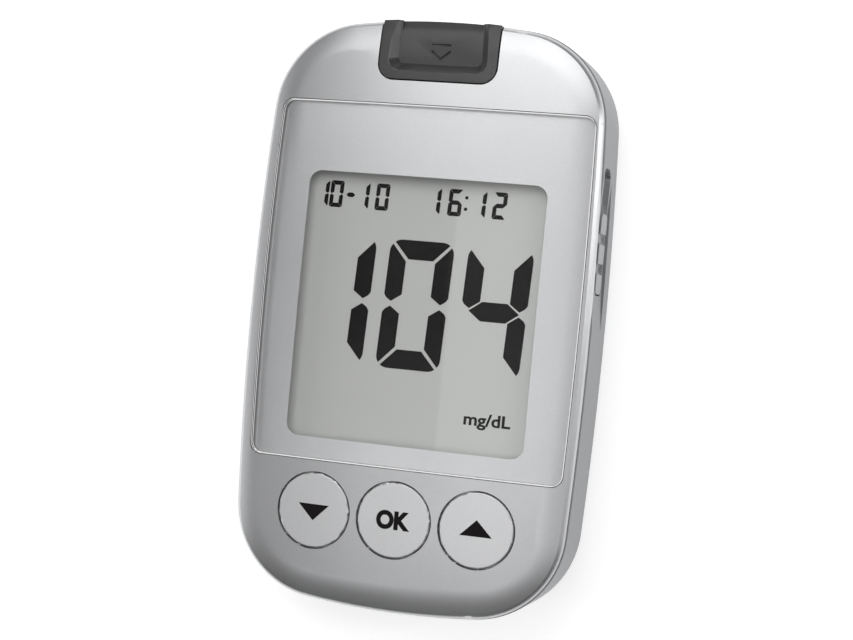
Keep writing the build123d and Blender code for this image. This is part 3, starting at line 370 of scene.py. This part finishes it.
def cell_sleeve(name, node, nub_side):
    """Printed sleeve of a battery: a dark body with a coloured band, and bare steel ends."""
    low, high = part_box(node)
    material, tree, shader = new_material(name)
    start, end = (low.y, high.y) if nub_side > 0 else (high.y, low.y)
    run = along(tree, "Y", start, end)
    bands = [
        (0.0, grey(0.55)),
        (0.015, (0.02, 0.05, 0.16)),
        (0.72, (0.62, 0.62, 0.64)),
        (0.75, (0.05, 0.22, 0.5)),
        (0.965, grey(0.55)),
    ]
    tree.links.new(ramp(tree, run, bands, sharp=True), shader.inputs["Base Color"])
    steel = ramp(tree, run, [(0.0, grey(1)), (0.015, grey(0)), (0.965, grey(1))], sharp=True)
    tree.links.new(steel, shader.inputs["Metallic"])
    worn = spread(tree, grain(tree, 350, 2.0), 0.26, 0.36)
    tree.links.new(worn, shader.inputs["Roughness"])
    bump(tree, shader, grain(tree, 900, 2.0), 0.000004)
    return material


def film_with_painted_reflection(name, colour):
    """Grey film behind the characters, with a painted reflection: darker at its left, lighter to
    its right, and a step up at FILM_SHEEN.
    """
    low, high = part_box("lcd_polariser")
    material, tree, shader = new_material(name)
    run = along(tree, "X", low.x, high.x)
    edge = (FILM_SHEEN - low.x) / (high.x - low.x)
    # Painted reflection: darker to the left, a step up at the edge, lighter to the right
    levels = [(0.1, 0.9), (edge - 0.006, 0.98), (edge + 0.006, 1.06), (0.95, 1.12)]
    tint = ramp(tree, run, [(place, tuple(level * c for c in colour)) for place, level in levels])
    tree.links.new(tint, shader.inputs["Base Color"])
    worn = spread(tree, grain(tree, 400, 2.0), 0.42, 0.48)
    tree.links.new(worn, shader.inputs["Roughness"])
    bump(tree, shader, grain(tree, 5000, 2.0), 0.0000015)
    return material


def paper_label(name):
    """Bare white foil label."""
    material, tree, shader = new_material(name)
    fibres = grain(tree, 1800, 4.0)
    tree.links.new(ramp(tree, fibres, shades(grey(0.72), 0.95, 1.04)), shader.inputs["Base Color"])
    worn = spread(tree, grain(tree, 250, 2.0), 0.32, 0.45)
    tree.links.new(worn, shader.inputs["Roughness"])
    bump(tree, shader, fibres, 0.000004)
    return material


def dull(material):
    """Take most of the shine off a finish."""
    node_of(material, "BSDF_PRINCIPLED").inputs["Specular IOR Level"].default_value = 0.1


def painted_glow(material, strength):
    """Let a finish glow by itself: a painted highlight, as on the lens's rounded edge."""
    shader = node_of(material, "BSDF_PRINCIPLED")
    shader.inputs["Emission Color"].default_value = (1, 1, 1, 1)
    shader.inputs["Emission Strength"].default_value = strength


FRONT_PAINT = silver_paint(
    "silver_paint", (0.60, 0.605, 0.615), metal=0.8, roughness=0.33, coat=0.25
)
BACK_PAINT = silver_paint(
    "silver_back_shell", (0.225, 0.23, 0.24), metal=0.45, roughness=0.42, coat=0.1
)
LENS_SILVER = silver_paint(
    "silver_back_print", (0.62, 0.625, 0.635), metal=0.86, roughness=0.31, coat=0.0
)
KEY_PAINT = silver_paint(
    "silver_keys", (0.80, 0.805, 0.815), metal=0.55, roughness=0.36, coat=0.2
)
KNOB_PAINT = silver_paint(
    "slider_paint", (0.31, 0.315, 0.325), metal=0.4, roughness=0.42, coat=0.1
)
CLEAR_ACRYLIC = clear_plastic("clear_acrylic", grey(0.99))
DISPLAY_GLASS = clear_plastic("display_glass", (0.93, 0.96, 0.94))
# Painted highlight: a light grey, made to glow below, for the lit rounded edge of the lens
PAINTED_EDGE_HIGHLIGHT = moulded("painted_edge_highlight", grey(0.8), 0.2, texture=4000, depth=0.000001)
# Painted shade: a dark grey for the lens's wall, where shade falls
SHADED_EDGE = moulded("edge_in_shadow", grey(0.2), 0.5, texture=4000, depth=0.000001)
PORT_GREY = moulded("port_dark_grey", grey(0.05), 0.3)
# Painted highlight: a lighter grey for the round edges of the port's recess
PORT_PAINTED_HIGHLIGHT = moulded("port_painted_edge_highlight", grey(0.13), 0.25)
BLACK_PLASTIC = moulded("black_plastic", grey(0.02), 0.45)
KEY_INK = moulded("black_ink", (0.012, 0.010, 0.010), 0.5, texture=6000, depth=0.000002)
SEGMENT = moulded(
    "display_segment", (0.006, 0.0045, 0.0045), 0.6, texture=8000, depth=0.000001
)
WHITE_PLASTIC = moulded("white_plastic", grey(0.72), 0.45)
FOAM_TAPE = moulded("black_foam_tape", grey(0.03), 0.8, texture=5000, depth=0.00001)
ELASTOMER = moulded("grey_elastomer", grey(0.10), 0.7, texture=4000, depth=0.00001)
CERAMIC = moulded("capacitor_ceramic", (0.45, 0.34, 0.22), 0.5)
SOLDER_MASK = circuit_board("green_solder_mask")
FILM_WITH_PAINTED_REFLECTION = film_with_painted_reflection("film_with_painted_reflection", (0.74, 0.755, 0.735))
REFLECTOR_FOIL = plated("reflector_foil", grey(0.7), 0.3)
GOLD_PLATE = plated("gold_plate", (0.83, 0.58, 0.22), 0.25, stretch=(1, 0.05, 1))
TINNED_STEEL = plated("tinned_steel", grey(0.55), 0.3, stretch=(1, 0.05, 1))
SPRING_STEEL = plated("spring_steel", grey(0.5), 0.28)
SCREW_STEEL = plated("screw_steel", grey(0.38), 0.32)
BARE_LABEL = paper_label("bare_label")
painted_glow(PAINTED_EDGE_HIGHLIGHT, 0.45)
for print_like in (SEGMENT, KEY_INK, FILM_WITH_PAINTED_REFLECTION):
    dull(print_like)

finish_of = {
    "back_cover": BACK_PAINT,
    "battery_door": BACK_PAINT,
    "battery_left": cell_sleeve("cell_sleeve_left", "battery_left", 1),
    "battery_right": cell_sleeve("cell_sleeve_right", "battery_right", -1),
    "battery_plates": TINNED_STEEL,
    "battery_springs": SPRING_STEEL,
    "board_chips": BLACK_PLASTIC,
    "board_passives": CERAMIC,
    "buzzer": BLACK_PLASTIC,
    "button_down": KEY_PAINT,
    "button_ok": KEY_PAINT,
    "button_up": KEY_PAINT,
    "case_screws": SCREW_STEEL,
    "display_lens": CLEAR_ACRYLIC,
    "eject_slider": KNOB_PAINT,
    "ejector_arm": WHITE_PLASTIC,
    "ejector_spring": SPRING_STEEL,
    "front_cover": FRONT_PAINT,
    "key_switches": TINNED_STEEL,
    "lcd_frame": WHITE_PLASTIC,
    "lcd_front_glass": DISPLAY_GLASS,
    "lcd_polariser": FILM_WITH_PAINTED_REFLECTION,
    "lcd_rear_glass": DISPLAY_GLASS,
    "lcd_reflector": REFLECTOR_FOIL,
    "lens_print": LENS_SILVER,
    "lens_tape": FOAM_TAPE,
    "main_board": SOLDER_MASK,
    "rating_label": BARE_LABEL,
    "strip_connector": BLACK_PLASTIC,
    "strip_contacts": GOLD_PLATE,
    "strip_port": PORT_GREY,
    "zebra_strips": ELASTOMER,
}
# The three plungers, which aren't listed, are black plastic too
for name, node in frame["nodes"].items():
    node.data.materials.clear()
    node.data.materials.append(finish_of.get(name, BLACK_PLASTIC))


# ---------------------------------------------------------------- making pieces
def only(piece):
    """Make a piece the one that the next operators work on."""
    bpy.ops.object.select_all(action="DESELECT")
    piece.select_set(True)
    bpy.context.view_layer.objects.active = piece


def join(pieces):
    """One piece from several, with its place in its mesh."""
    bpy.ops.object.select_all(action="DESELECT")
    for piece in pieces:
        piece.select_set(True)
    bpy.context.view_layer.objects.active = pieces[0]
    bpy.ops.object.join()
    bpy.ops.object.transform_apply(location=True, rotation=True, scale=True)
    return pieces[0]


def flat_shape(corners, height):
    """A thin plate with the given corners, in millimetres, counted anticlockwise."""
    bpy.ops.mesh.primitive_circle_add(vertices=len(corners), radius=MM, fill_type="NGON")
    plate = bpy.context.object
    for vertex, (x, y) in zip(plate.data.vertices, corners):
        vertex.co = (x * MM, y * MM, 0)
    bpy.ops.object.mode_set(mode="EDIT")
    bpy.ops.mesh.select_all(action="SELECT")
    bpy.ops.mesh.extrude_region_move(TRANSFORM_OT_translate={"value": (0, 0, height)})
    bpy.ops.mesh.select_all(action="SELECT")
    bpy.ops.mesh.normals_make_consistent(inside=False)
    bpy.ops.object.mode_set(mode="OBJECT")
    return plate


def letters(text, height, width, weight, thickness):
    """A word as a thin plate, its lower left corner at the origin, stretched to a size."""
    bpy.ops.object.text_add()
    word = bpy.context.object
    word.data.body = text
    word.data.offset = weight
    word.data.extrude = 0.5
    bpy.ops.object.convert(target="MESH")
    low = Vector([min(v.co[axis] for v in word.data.vertices) for axis in range(3)])
    high = Vector([max(v.co[axis] for v in word.data.vertices) for axis in range(3)])
    size = high - low
    fit = Matrix.Diagonal((width / size.x, height / size.y, thickness / size.z, 1))
    word.data.transform(fit @ Matrix.Translation(-low))
    return word


def finish(piece, name, material, body, slot, *nodes):
    """Name a piece, give it its material and body, and hide the nodes it stands for. The slot is
    not used.
    """
    piece.name = name
    piece.data.materials.clear()
    piece.data.materials.append(material)
    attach(piece, body)
    if nodes:
        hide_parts(*nodes)


# ---------------------------------------------------------------- the case's front and walls
def crown_height(place):
    """Height of the front surface above or below a place."""
    return CROWN_TOP - place.x ** 2 / (2 * CROWN_ACROSS) - place.y ** 2 / (2 * CROWN_ALONG)


def crown_normal(place):
    """Direction in which the pillow faces at a place."""
    return Vector((place.x / CROWN_ACROSS, place.y / CROWN_ALONG, 1)).normalized()


def outline_near(place):
    """Depth of a place inside the case's outline, and the direction out to it."""
    spot = Vector((abs(place.x), abs(place.y)))
    side_centre = Vector((HALF_WIDTH - SIDE_RADIUS, 0))
    end_centre = Vector((0, HALF_LENGTH - END_RADIUS))
    from_corner = spot - CORNER_CENTRE
    past_side = (CORNER_CENTRE - side_centre).cross(spot - side_centre) > 0
    past_end = (spot - end_centre).cross(CORNER_CENTRE - end_centre) > 0
    if past_side and past_end:
        depth, way = CORNER_RADIUS - from_corner.length, from_corner
    else:
        reaches = [
            (SIDE_RADIUS - (spot - side_centre).length, spot - side_centre),
            (END_RADIUS - (spot - end_centre).length, spot - end_centre),
        ]
        depth, way = min(reaches, key=lambda reach: reach[0])
    way.normalize()
    side = 1 if place.x > 0 else -1
    end = 1 if place.y > 0 else -1
    return depth, Vector((way.x * side, way.y * end, 0))


def front_height(place):
    """Height of the front above or below a place, its rounded shoulder included."""
    depth, outwards = outline_near(place)
    inwards = max(SHOULDER_WIDTH - depth, 0)
    foot = Vector(place) - outwards * inwards
    slope = crown_normal(foot).dot(outwards)
    if inwards <= SHOULDER_RADIUS * slope:
        return crown_height(place)
    start = SHOULDER_RADIUS / (1 - slope ** 2) ** 0.5
    drop = start - (SHOULDER_RADIUS ** 2 - inwards ** 2) ** 0.5
    return crown_height(foot) - drop


def front_normal(place):
    """Direction in which the front faces at a place, its rounded shoulder included."""
    level = crown_normal(place)
    depth, outwards = outline_near(place)
    lean = min((SHOULDER_WIDTH - depth) / SHOULDER_RADIUS, STEEPEST_LEAN)
    if lean < level.dot(outwards):
        return level
    return outwards * lean + Vector((0, 0, (1 - lean ** 2) ** 0.5))


def follow_front(piece):
    """Give the corners of the faces that run with the front surface its own normals."""
    mesh = piece.data
    normals = [corner.vector.copy() for corner in mesh.corner_normals]
    below = [abs(vertex.co.z - front_height(vertex.co)) for vertex in mesh.vertices]
    for face in mesh.polygons:
        on_front = max(below[index] for index in face.vertices) < ON_FRONT
        runs_along = abs(face.normal.dot(front_normal(face.center))) > ALONG_FRONT
        if not (on_front or runs_along):
            continue
        side = 1 if face.normal.z > 0 else -1
        for corner in face.loop_indices:
            place = mesh.vertices[mesh.loops[corner].vertex_index].co
            normals[corner] = side * front_normal(place)
    mesh.normals_split_custom_set(normals)


def is_wall(face):
    """Whether a face is part of the case's outer wall or of a rounded edge along it."""
    depth, outwards = outline_near(face.center)
    level = Vector((face.normal.x, face.normal.y, 0))
    if depth > WALL_DEPTH or level.length < WALL_LEVEL:
        return False
    return level.normalized().dot(outwards) >= WALL_FACING


def wall_normal(face, place, normal):
    """A wall's direction at one of its corners: out of the case, and leaning as its kind does."""
    lean = normal.z
    is_upright = abs(face.normal.z) < UPRIGHT_LEAN
    is_rim = abs(face.normal.z - RIM_LEAN) < RIM_SPREAD
    if is_upright:
        lean = 0
    elif is_rim:
        at_top = abs(place.z - front_height(place)) < RIM_TOP
        lean = RIM_LEAN + (RIM_ROUND if at_top else -RIM_ROUND)
    outwards = outline_near(place)[1]
    return outwards * (1 - lean ** 2) ** 0.5 + Vector((0, 0, lean))


def follow_walls(piece):
    """Turn the normals of walls square to the case's outline, and of the flat back downwards."""
    mesh = piece.data
    normals = [corner.vector.copy() for corner in mesh.corner_normals]
    for face in mesh.polygons:
        on_back = face.normal.z < FLAT_BACK
        if not (on_back or is_wall(face)):
            continue
        for corner in face.loop_indices:
            if on_back:
                normals[corner] = face.normal.copy()
            else:
                place = mesh.vertices[mesh.loops[corner].vertex_index].co
                normals[corner] = wall_normal(face, place, normals[corner])
    mesh.normals_split_custom_set(normals)


# ---------------------------------------------------------------- shells, keys, port and slider
def smooth_skin(node, angle=SOFT_EDGE, edge=0.0, edge_painted_highlight=None):
    """A merged, smooth-shaded copy of a node, with edges rounded by edge, that stands for it."""
    source = frame["nodes"][node]
    piece = bpy.data.objects.new(node + "_skin", source.data.copy())
    bpy.context.scene.collection.objects.link(piece)
    only(piece)
    bpy.ops.object.mode_set(mode="EDIT")
    bpy.ops.mesh.select_all(action="SELECT")
    bpy.ops.mesh.remove_doubles(threshold=MERGE_GAP)
    if edge:
        bpy.ops.mesh.dissolve_limited(angle_limit=radians(COPLANAR))
    bpy.ops.object.mode_set(mode="OBJECT")
    if edge:
        rounding = piece.modifiers.new("edges", "BEVEL")
        rounding.width = edge
        rounding.segments = 2
        rounding.limit_method = "ANGLE"
        rounding.angle_limit = radians(angle)
        if edge_painted_highlight:
            piece.data.materials.append(edge_painted_highlight)
            rounding.material = 1
        bpy.ops.object.modifier_apply(modifier=rounding.name)
    bpy.ops.object.shade_smooth_by_angle(angle=radians(angle))
    weighted = piece.modifiers.new("weighted", "WEIGHTED_NORMAL")
    weighted.keep_sharp = True
    bpy.ops.object.modifier_apply(modifier=weighted.name)
    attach(piece, source["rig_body"])
    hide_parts(node)
    return piece


def front_shell():
    """The silver front cover."""
    cover = smooth_skin("front_cover")
    follow_front(cover)
    follow_walls(cover)


def back_shell():
    """The dark back cover and its battery door."""
    cover = smooth_skin("back_cover")
    follow_walls(cover)
    smooth_skin("battery_door")


def keys():
    """The three round keys, whose tops run on from the front."""
    for node in ("button_down", "button_ok", "button_up"):
        key = smooth_skin(node)
        follow_front(key)


def strip_guide():
    """The port. Of its small round edges, only those of the recess keep the lighter grey, a
    painted highlight.
    """
    port = smooth_skin(
        "strip_port", angle=30.0, edge=PORT_ROUNDING, edge_painted_highlight=PORT_PAINTED_HIGHLIGHT
    )
    low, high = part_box("strip_port")
    for face in port.data.polygons:
        centre = face.center
        inside = min(centre.x - low.x, high.x - centre.x, centre.y - low.y)
        on_rim_edge = abs(inside - PORT_RIM) < PORT_ROUNDING
        on_floor_edge = abs(inside - PORT_RIM - PORT_SLOPE) < PORT_ROUNDING
        if not (on_rim_edge or on_floor_edge):
            face.material_index = 0


def slider_knob():
    """The ribbed knob of the eject slider."""
    smooth_skin("eject_slider", angle=30.0, edge=KNOB_ROUNDING)


def return_spring():
    """The slider's spring, with a mesh of its own."""
    spring = smooth_skin("ejector_spring", angle=40.0)
    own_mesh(spring)


# ---------------------------------------------------------------- lens
def rounded_outline(left, right, bottom, top, corner, swell):
    """Corners of a rectangle with round corners and sides that swell, in millimetres."""
    centres = [
        (right - corner, top - corner),
        (left + corner, top - corner),
        (left + corner, bottom + corner),
        (right - corner, bottom + corner),
    ]
    spots = []
    for quarter, (x, y) in enumerate(centres):
        for step in range(CORNER_STEPS + 1):
            angle = (quarter + step / CORNER_STEPS) * pi / 2
            spots.append((x + corner * cos(angle), y + corner * sin(angle)))
    middle = (right + left) / 2
    straight = (right - left) / 2 - corner
    centre = (bottom + top) / 2
    half = (top - bottom) / 2
    outline = []
    for (x1, y1), (x2, y2) in zip(spots, spots[1:] + spots[:1]):
        parts = max(1, round(max(abs(x2 - x1), abs(y2 - y1)) / OUTLINE_PITCH))
        for part in range(parts):
            x = x1 + (x2 - x1) * part / parts
            y = y1 + (y2 - y1) * part / parts
            if abs(x - middle) > straight:
                side = 1 if x > middle else -1
                x += side * swell * (1 - ((y - centre) / half) ** 2)
            outline.append((x, y))
    return outline


def pillow(plate, top, bottom):
    """Cut a flat plate into a grid and lay its two faces top and bottom under the front."""
    only(plate)
    bpy.ops.object.mode_set(mode="EDIT")
    for axis in ((1, 0, 0), (0, 1, 0)):
        for line in GRID_LINES:
            cut = Vector(axis) * (line * GRID_PITCH + GRID_SHIFT) * MM
            bpy.ops.mesh.select_all(action="SELECT")
            bpy.ops.mesh.bisect(plane_co=cut, plane_no=axis)
    bpy.ops.object.mode_set(mode="OBJECT")
    for vertex in plate.data.vertices:
        depth = top if vertex.co.z > 0 else bottom
        vertex.co.z = front_height(vertex.co) - depth


def lens_border():
    """Outline of the lens, which its print shares."""
    low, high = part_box("display_lens")
    sides = (low.x / MM + LENS_SWELL, high.x / MM - LENS_SWELL, low.y / MM, high.y / MM)
    return rounded_outline(*sides, LENS_CORNER, LENS_SWELL)


def clear_lens():
    """The clear lens, with a painted highlight on its rounded edge and painted shade on its wall.
    """
    lens = flat_shape(lens_border(), LENS_THICKNESS)
    pillow(lens, 0, LENS_THICKNESS)
    rim = lens.modifiers.new("rim", "BEVEL")
    rim.width = LENS_EDGE
    rim.segments = 2
    rim.limit_method = "ANGLE"
    rim.angle_limit = radians(50)
    bpy.ops.object.modifier_apply(modifier=rim.name)
    bpy.ops.object.shade_smooth_by_angle(angle=radians(LENS_SMOOTH))
    follow_front(lens)
    finish(lens, "lens", CLEAR_ACRYLIC, "case", "clear_lens", "display_lens")
    lens.data.materials.append(PAINTED_EDGE_HIGHLIGHT)
    lens.data.materials.append(SHADED_EDGE)
    # The rounded edge takes the painted highlight and the wall the painted shade
    for face in lens.data.polygons:
        level = abs(face.normal.dot(front_normal(face.center)))
        if level < LENS_WALL:
            face.material_index = 2
        elif level < LENS_TOP:
            face.material_index = 1


def silver_print():
    """The silver print on the lens's underside, which leaves the window open."""
    printed = flat_shape(lens_border(), PRINT_THICKNESS)
    window = rounded_outline(
        -WINDOW_WIDTH / 2,
        WINDOW_WIDTH / 2,
        WINDOW_CENTRE - WINDOW_LENGTH / 2,
        WINDOW_CENTRE + WINDOW_LENGTH / 2,
        WINDOW_CORNER,
        0,
    )
    cutter = flat_shape(window, 3 * PRINT_THICKNESS)
    cutter.location.z = -PRINT_THICKNESS
    only(printed)
    opening = printed.modifiers.new("window", "BOOLEAN")
    opening.operation = "DIFFERENCE"
    opening.object = cutter
    bpy.ops.object.modifier_apply(modifier=opening.name)
    bpy.data.objects.remove(cutter)
    print_top = LENS_THICKNESS + PRINT_GAP
    pillow(printed, print_top, print_top + PRINT_THICKNESS)
    bpy.ops.object.shade_smooth_by_angle(angle=radians(LENS_SMOOTH))
    follow_front(printed)
    finish(printed, "silver_print_layer", LENS_SILVER, "case", "silver_print", "lens_print")


# ---------------------------------------------------------------- display characters
def corner_arc(first, last):
    """Points on the digit's rounded upper left corner, between two angles in degrees."""
    points = []
    for step in range(ARC_STEPS + 1):
        angle = radians(first + (last - first) * step / ARC_STEPS)
        inwards = DIGIT_CORNER * (1 - cos(angle))
        down = DIGIT_CORNER * (1 - sin(angle))
        points.append((inwards, DIGIT_HEIGHT - down))
    return points


def digit_bars():
    """Outlines of a digit's seven bars, from the upper left one and its mirror images."""
    middle = DIGIT_HEIGHT / 2
    inner = DIGIT_HEIGHT - DIGIT_BAR
    half_bar = DIGIT_BAR / 2
    upper_left = corner_arc(*SIDE_ARC) + [
        (0, middle + BAR_END),
        (BAR_SHOULDER[0], middle + BAR_SHOULDER[1]),
        (BAR_TIP, middle + DIGIT_GAP),
        (DIGIT_SIDE, middle + half_bar),
        (DIGIT_SIDE, inner - DIGIT_GAP),
    ]
    left_arc = corner_arc(*reversed(LEVEL_ARC))
    right_arc = [(DIGIT_WIDTH - x, y) for x, y in corner_arc(*LEVEL_ARC)]
    top = [
        (DIGIT_SIDE + DIGIT_GAP, inner),
        (DIGIT_WIDTH - DIGIT_SIDE - DIGIT_GAP, inner),
        *right_arc,
        *left_arc,
    ]
    centre = [
        (BAR_TIP, middle),
        (DIGIT_SIDE + DIGIT_GAP, middle - half_bar),
        (DIGIT_WIDTH - DIGIT_SIDE - DIGIT_GAP, middle - half_bar),
        (DIGIT_WIDTH - BAR_TIP, middle),
        (DIGIT_WIDTH - DIGIT_SIDE - DIGIT_GAP, middle + half_bar),
        (DIGIT_SIDE + DIGIT_GAP, middle + half_bar),
    ]

    def across(points):
        """The bar on the other side of the digit."""
        return [(DIGIT_WIDTH - x, y) for x, y in reversed(points)]

    def over(points):
        """The bar on the other end of the digit."""
        return [(x, DIGIT_HEIGHT - y) for x, y in reversed(points)]

    return {
        "top": top,
        "upper_left": upper_left,
        "upper_right": across(upper_left),
        "centre": centre,
        "lower_left": over(upper_left),
        "lower_right": over(across(upper_left)),
        "bottom": over(top),
    }


BARS = digit_bars()
RIGHT_BARS = ["upper_right", "lower_right"]
LEFT_BARS = ["upper_left", "lower_left"]
BARS_OF = {
    "0": ["top", "bottom"] + LEFT_BARS + RIGHT_BARS,
    "1": RIGHT_BARS,
    "2": ["top", "upper_right", "centre", "lower_left", "bottom"],
    "4": ["upper_left", "centre"] + RIGHT_BARS,
    "6": ["top", "centre", "bottom", "lower_right"] + LEFT_BARS,
}


def digit(figure, left, bottom, size, swell=0.0):
    """The lit bars of one figure, its lower left corner at (left, bottom), grown by swell."""
    plates = []
    for bar in BARS_OF[figure]:
        corners = [
            Vector((left + size * (x + DIGIT_LEAN * y), bottom + size * y)) for x, y in BARS[bar]
        ]
        middle = sum(corners, Vector((0, 0))) / len(corners)
        grown = [corner + (corner - middle).normalized() * swell for corner in corners]
        plates.append(flat_shape(grown, INK_HEIGHT))
    return plates


def dot(x, y, width, height, sides):
    """A small mark on the display, with its centre at (x, y), in millimetres."""
    turns = [2 * pi / sides * index for index in range(sides)]
    corners = [(x + width / 2 * cos(turn), y + height / 2 * sin(turn)) for turn in turns]
    return flat_shape(corners, INK_HEIGHT)


def display_text():
    """A reading with its unit, a date and a time, lying on the display's film."""
    plates = []
    for figure, left in READING:
        plates += digit(figure, left, READING_FOOT, 1.0)
    for figure, left in DATE + TIME:
        plates += digit(figure, left, SMALL_FOOT, SMALL_DIGITS, SMALL_SWELL)
    plates += [dot(*DASH), dot(*COLON[0]), dot(*COLON[1])]
    unit = letters("mg/dL", UNIT_HEIGHT * MM, UNIT_WIDTH * MM, UNIT_WEIGHT, INK_HEIGHT)
    unit.data.transform(Matrix.Translation((UNIT_PLACE[0] * MM, UNIT_PLACE[1] * MM, 0)))
    plates.append(unit)
    text = join(plates)
    film_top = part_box("lcd_polariser")[1].z
    text.data.transform(Matrix.Translation((0, 0, film_top + INK_GAP)))
    finish(text, "display_segments", SEGMENT, "case", "black_tape")


# ---------------------------------------------------------------- key symbols
def on_key(symbol, key, body, name):
    """Print a flat symbol, centred on the origin, on a key's crowned top."""
    low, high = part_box(key)
    centre = Vector(((low.x + high.x) / 2, (low.y + high.y) / 2, 0))
    centre.z = crown_height(centre) - INK_SINK
    facing = Vector((0, 0, 1)).rotation_difference(crown_normal(centre)).to_matrix().to_4x4()
    symbol.data.transform(Matrix.Translation(centre) @ facing)
    finish(symbol, name, KEY_INK, body, "black_tape")


def key_symbols():
    """An arrow head down, OK, and an arrow head up."""
    down = [(-ARROW_HALF, DOWN_BASE), (0, DOWN_BASE - ARROW_HEIGHT), (ARROW_HALF, DOWN_BASE)]
    up = [(-ARROW_HALF, UP_BASE), (ARROW_HALF, UP_BASE), (0, UP_BASE + ARROW_HEIGHT)]
    on_key(flat_shape(down, INK_HEIGHT), "button_down", "key_down", "symbol_down")
    on_key(flat_shape(up, INK_HEIGHT), "button_up", "key_up", "symbol_up")
    word = letters("OK", OK_HEIGHT * MM, OK_WIDTH * MM, OK_WEIGHT, INK_HEIGHT)
    word.data.transform(Matrix.Translation((OK_PLACE[0] * MM, OK_PLACE[1] * MM, 0)))
    on_key(word, "button_ok", "key_ok", "symbol_ok")


front_shell()
back_shell()
clear_lens()
silver_print()
keys()
strip_guide()
slider_knob()
return_spring()
display_text()
key_symbols()


# ---------------------------------------------------------------- floor, lamps and camera
def floor():
    """Plain pale surface that the meter lies on."""
    bpy.ops.mesh.primitive_plane_add(size=FLOOR_SIZE, location=(0, 0, cad_box[0].z - FLOOR_GAP))
    surface = bpy.context.object
    surface.name = "floor"
    material, tree, shader = new_material("pale_floor")
    speckle = ramp(tree, grain(tree, 20, 2.0), shades(grey(0.88), 0.995, 1.005))
    tree.links.new(speckle, shader.inputs["Base Color"])
    shader.inputs["Roughness"].default_value = 0.8
    shader.inputs["Emission Color"].default_value = (1, 1, 1, 1)
    shader.inputs["Emission Strength"].default_value = 0.6
    surface.data.materials.append(material)


def softbox(name, place, aim, size, power):
    """A rectangular lamp at place that shines at aim."""
    data = bpy.data.lights.new(name, "AREA")
    data.shape = "RECTANGLE"
    data.size, data.size_y = size
    data.energy = power
    lamp = bpy.data.objects.new(name, data)
    bpy.context.scene.collection.objects.link(lamp)
    lamp.location = place
    lamp.rotation_mode = "QUATERNION"
    lamp.rotation_quaternion = (Vector(aim) - Vector(place)).to_track_quat("-Z", "Y")


def room():
    """A room with bright and dark stretches, both across and along the case."""
    world = bpy.data.worlds.new("room")
    bpy.context.scene.world = world
    world.use_nodes = True
    tree = world.node_tree
    place = tree.nodes.new("ShaderNodeTexCoord")
    parts = tree.nodes.new("ShaderNodeSeparateXYZ")
    tree.links.new(place.outputs["Generated"], parts.inputs["Vector"])
    colours = []
    for axis, stops in (("X", ROOM_ACROSS), ("Y", ROOM_ALONG)):
        span = tree.nodes.new("ShaderNodeMapRange")
        span.inputs["From Min"].default_value = -1.0
        span.inputs["From Max"].default_value = 1.0
        tree.links.new(parts.outputs[axis], span.inputs["Value"])
        levels = [(at, grey(level)) for at, level in stops]
        colours.append(ramp(tree, span.outputs["Result"], levels))
    both = tree.nodes.new("ShaderNodeMix")
    both.data_type = "RGBA"
    both.blend_type = "MULTIPLY"
    both.inputs["Factor"].default_value = 1.0
    tree.links.new(colours[0], both.inputs["A"])
    tree.links.new(colours[1], both.inputs["B"])
    tree.links.new(both.outputs["Result"], tree.nodes["Background"].inputs["Color"])


def camera():
    """A view down at the display from its right-hand side."""
    data = bpy.data.cameras.new("camera")
    data.sensor_width = 36.0
    data.lens = 77.40
    data.clip_start = 0.01
    viewer = bpy.data.objects.new("camera", data)
    bpy.context.scene.collection.objects.link(viewer)
    viewer.location = (0.08279, -0.00098, 0.29983)
    right = Vector((0.95649, 0.09491, -0.27590))
    up = Vector((-0.09053, 0.99548, 0.02860))
    back = Vector((0.27736, -0.00238, 0.96076))
    viewer.rotation_mode = "QUATERNION"
    viewer.rotation_quaternion = Matrix((right, up, back)).transposed().to_quaternion()
    bpy.context.scene.camera = viewer


bpy.ops.object.select_all(action="DESELECT")
floor()
softbox("overhead", place=(0.27, 0.0, 1.0), aim=(0.27, 0.0, 0), size=(1.0, 0.56), power=0.8)
softbox("far_end", place=(-0.035, 0.6, 1.0), aim=(-0.035, 0.6, 0), size=(0.77, 0.7), power=3.3)
softbox("right_strip", place=(1.0, 0.2, 0.24), aim=(0, 0, 0.02), size=(0.24, 1.7), power=4.0)
room()
camera()
bpy.context.scene.view_settings.view_transform = "Standard"
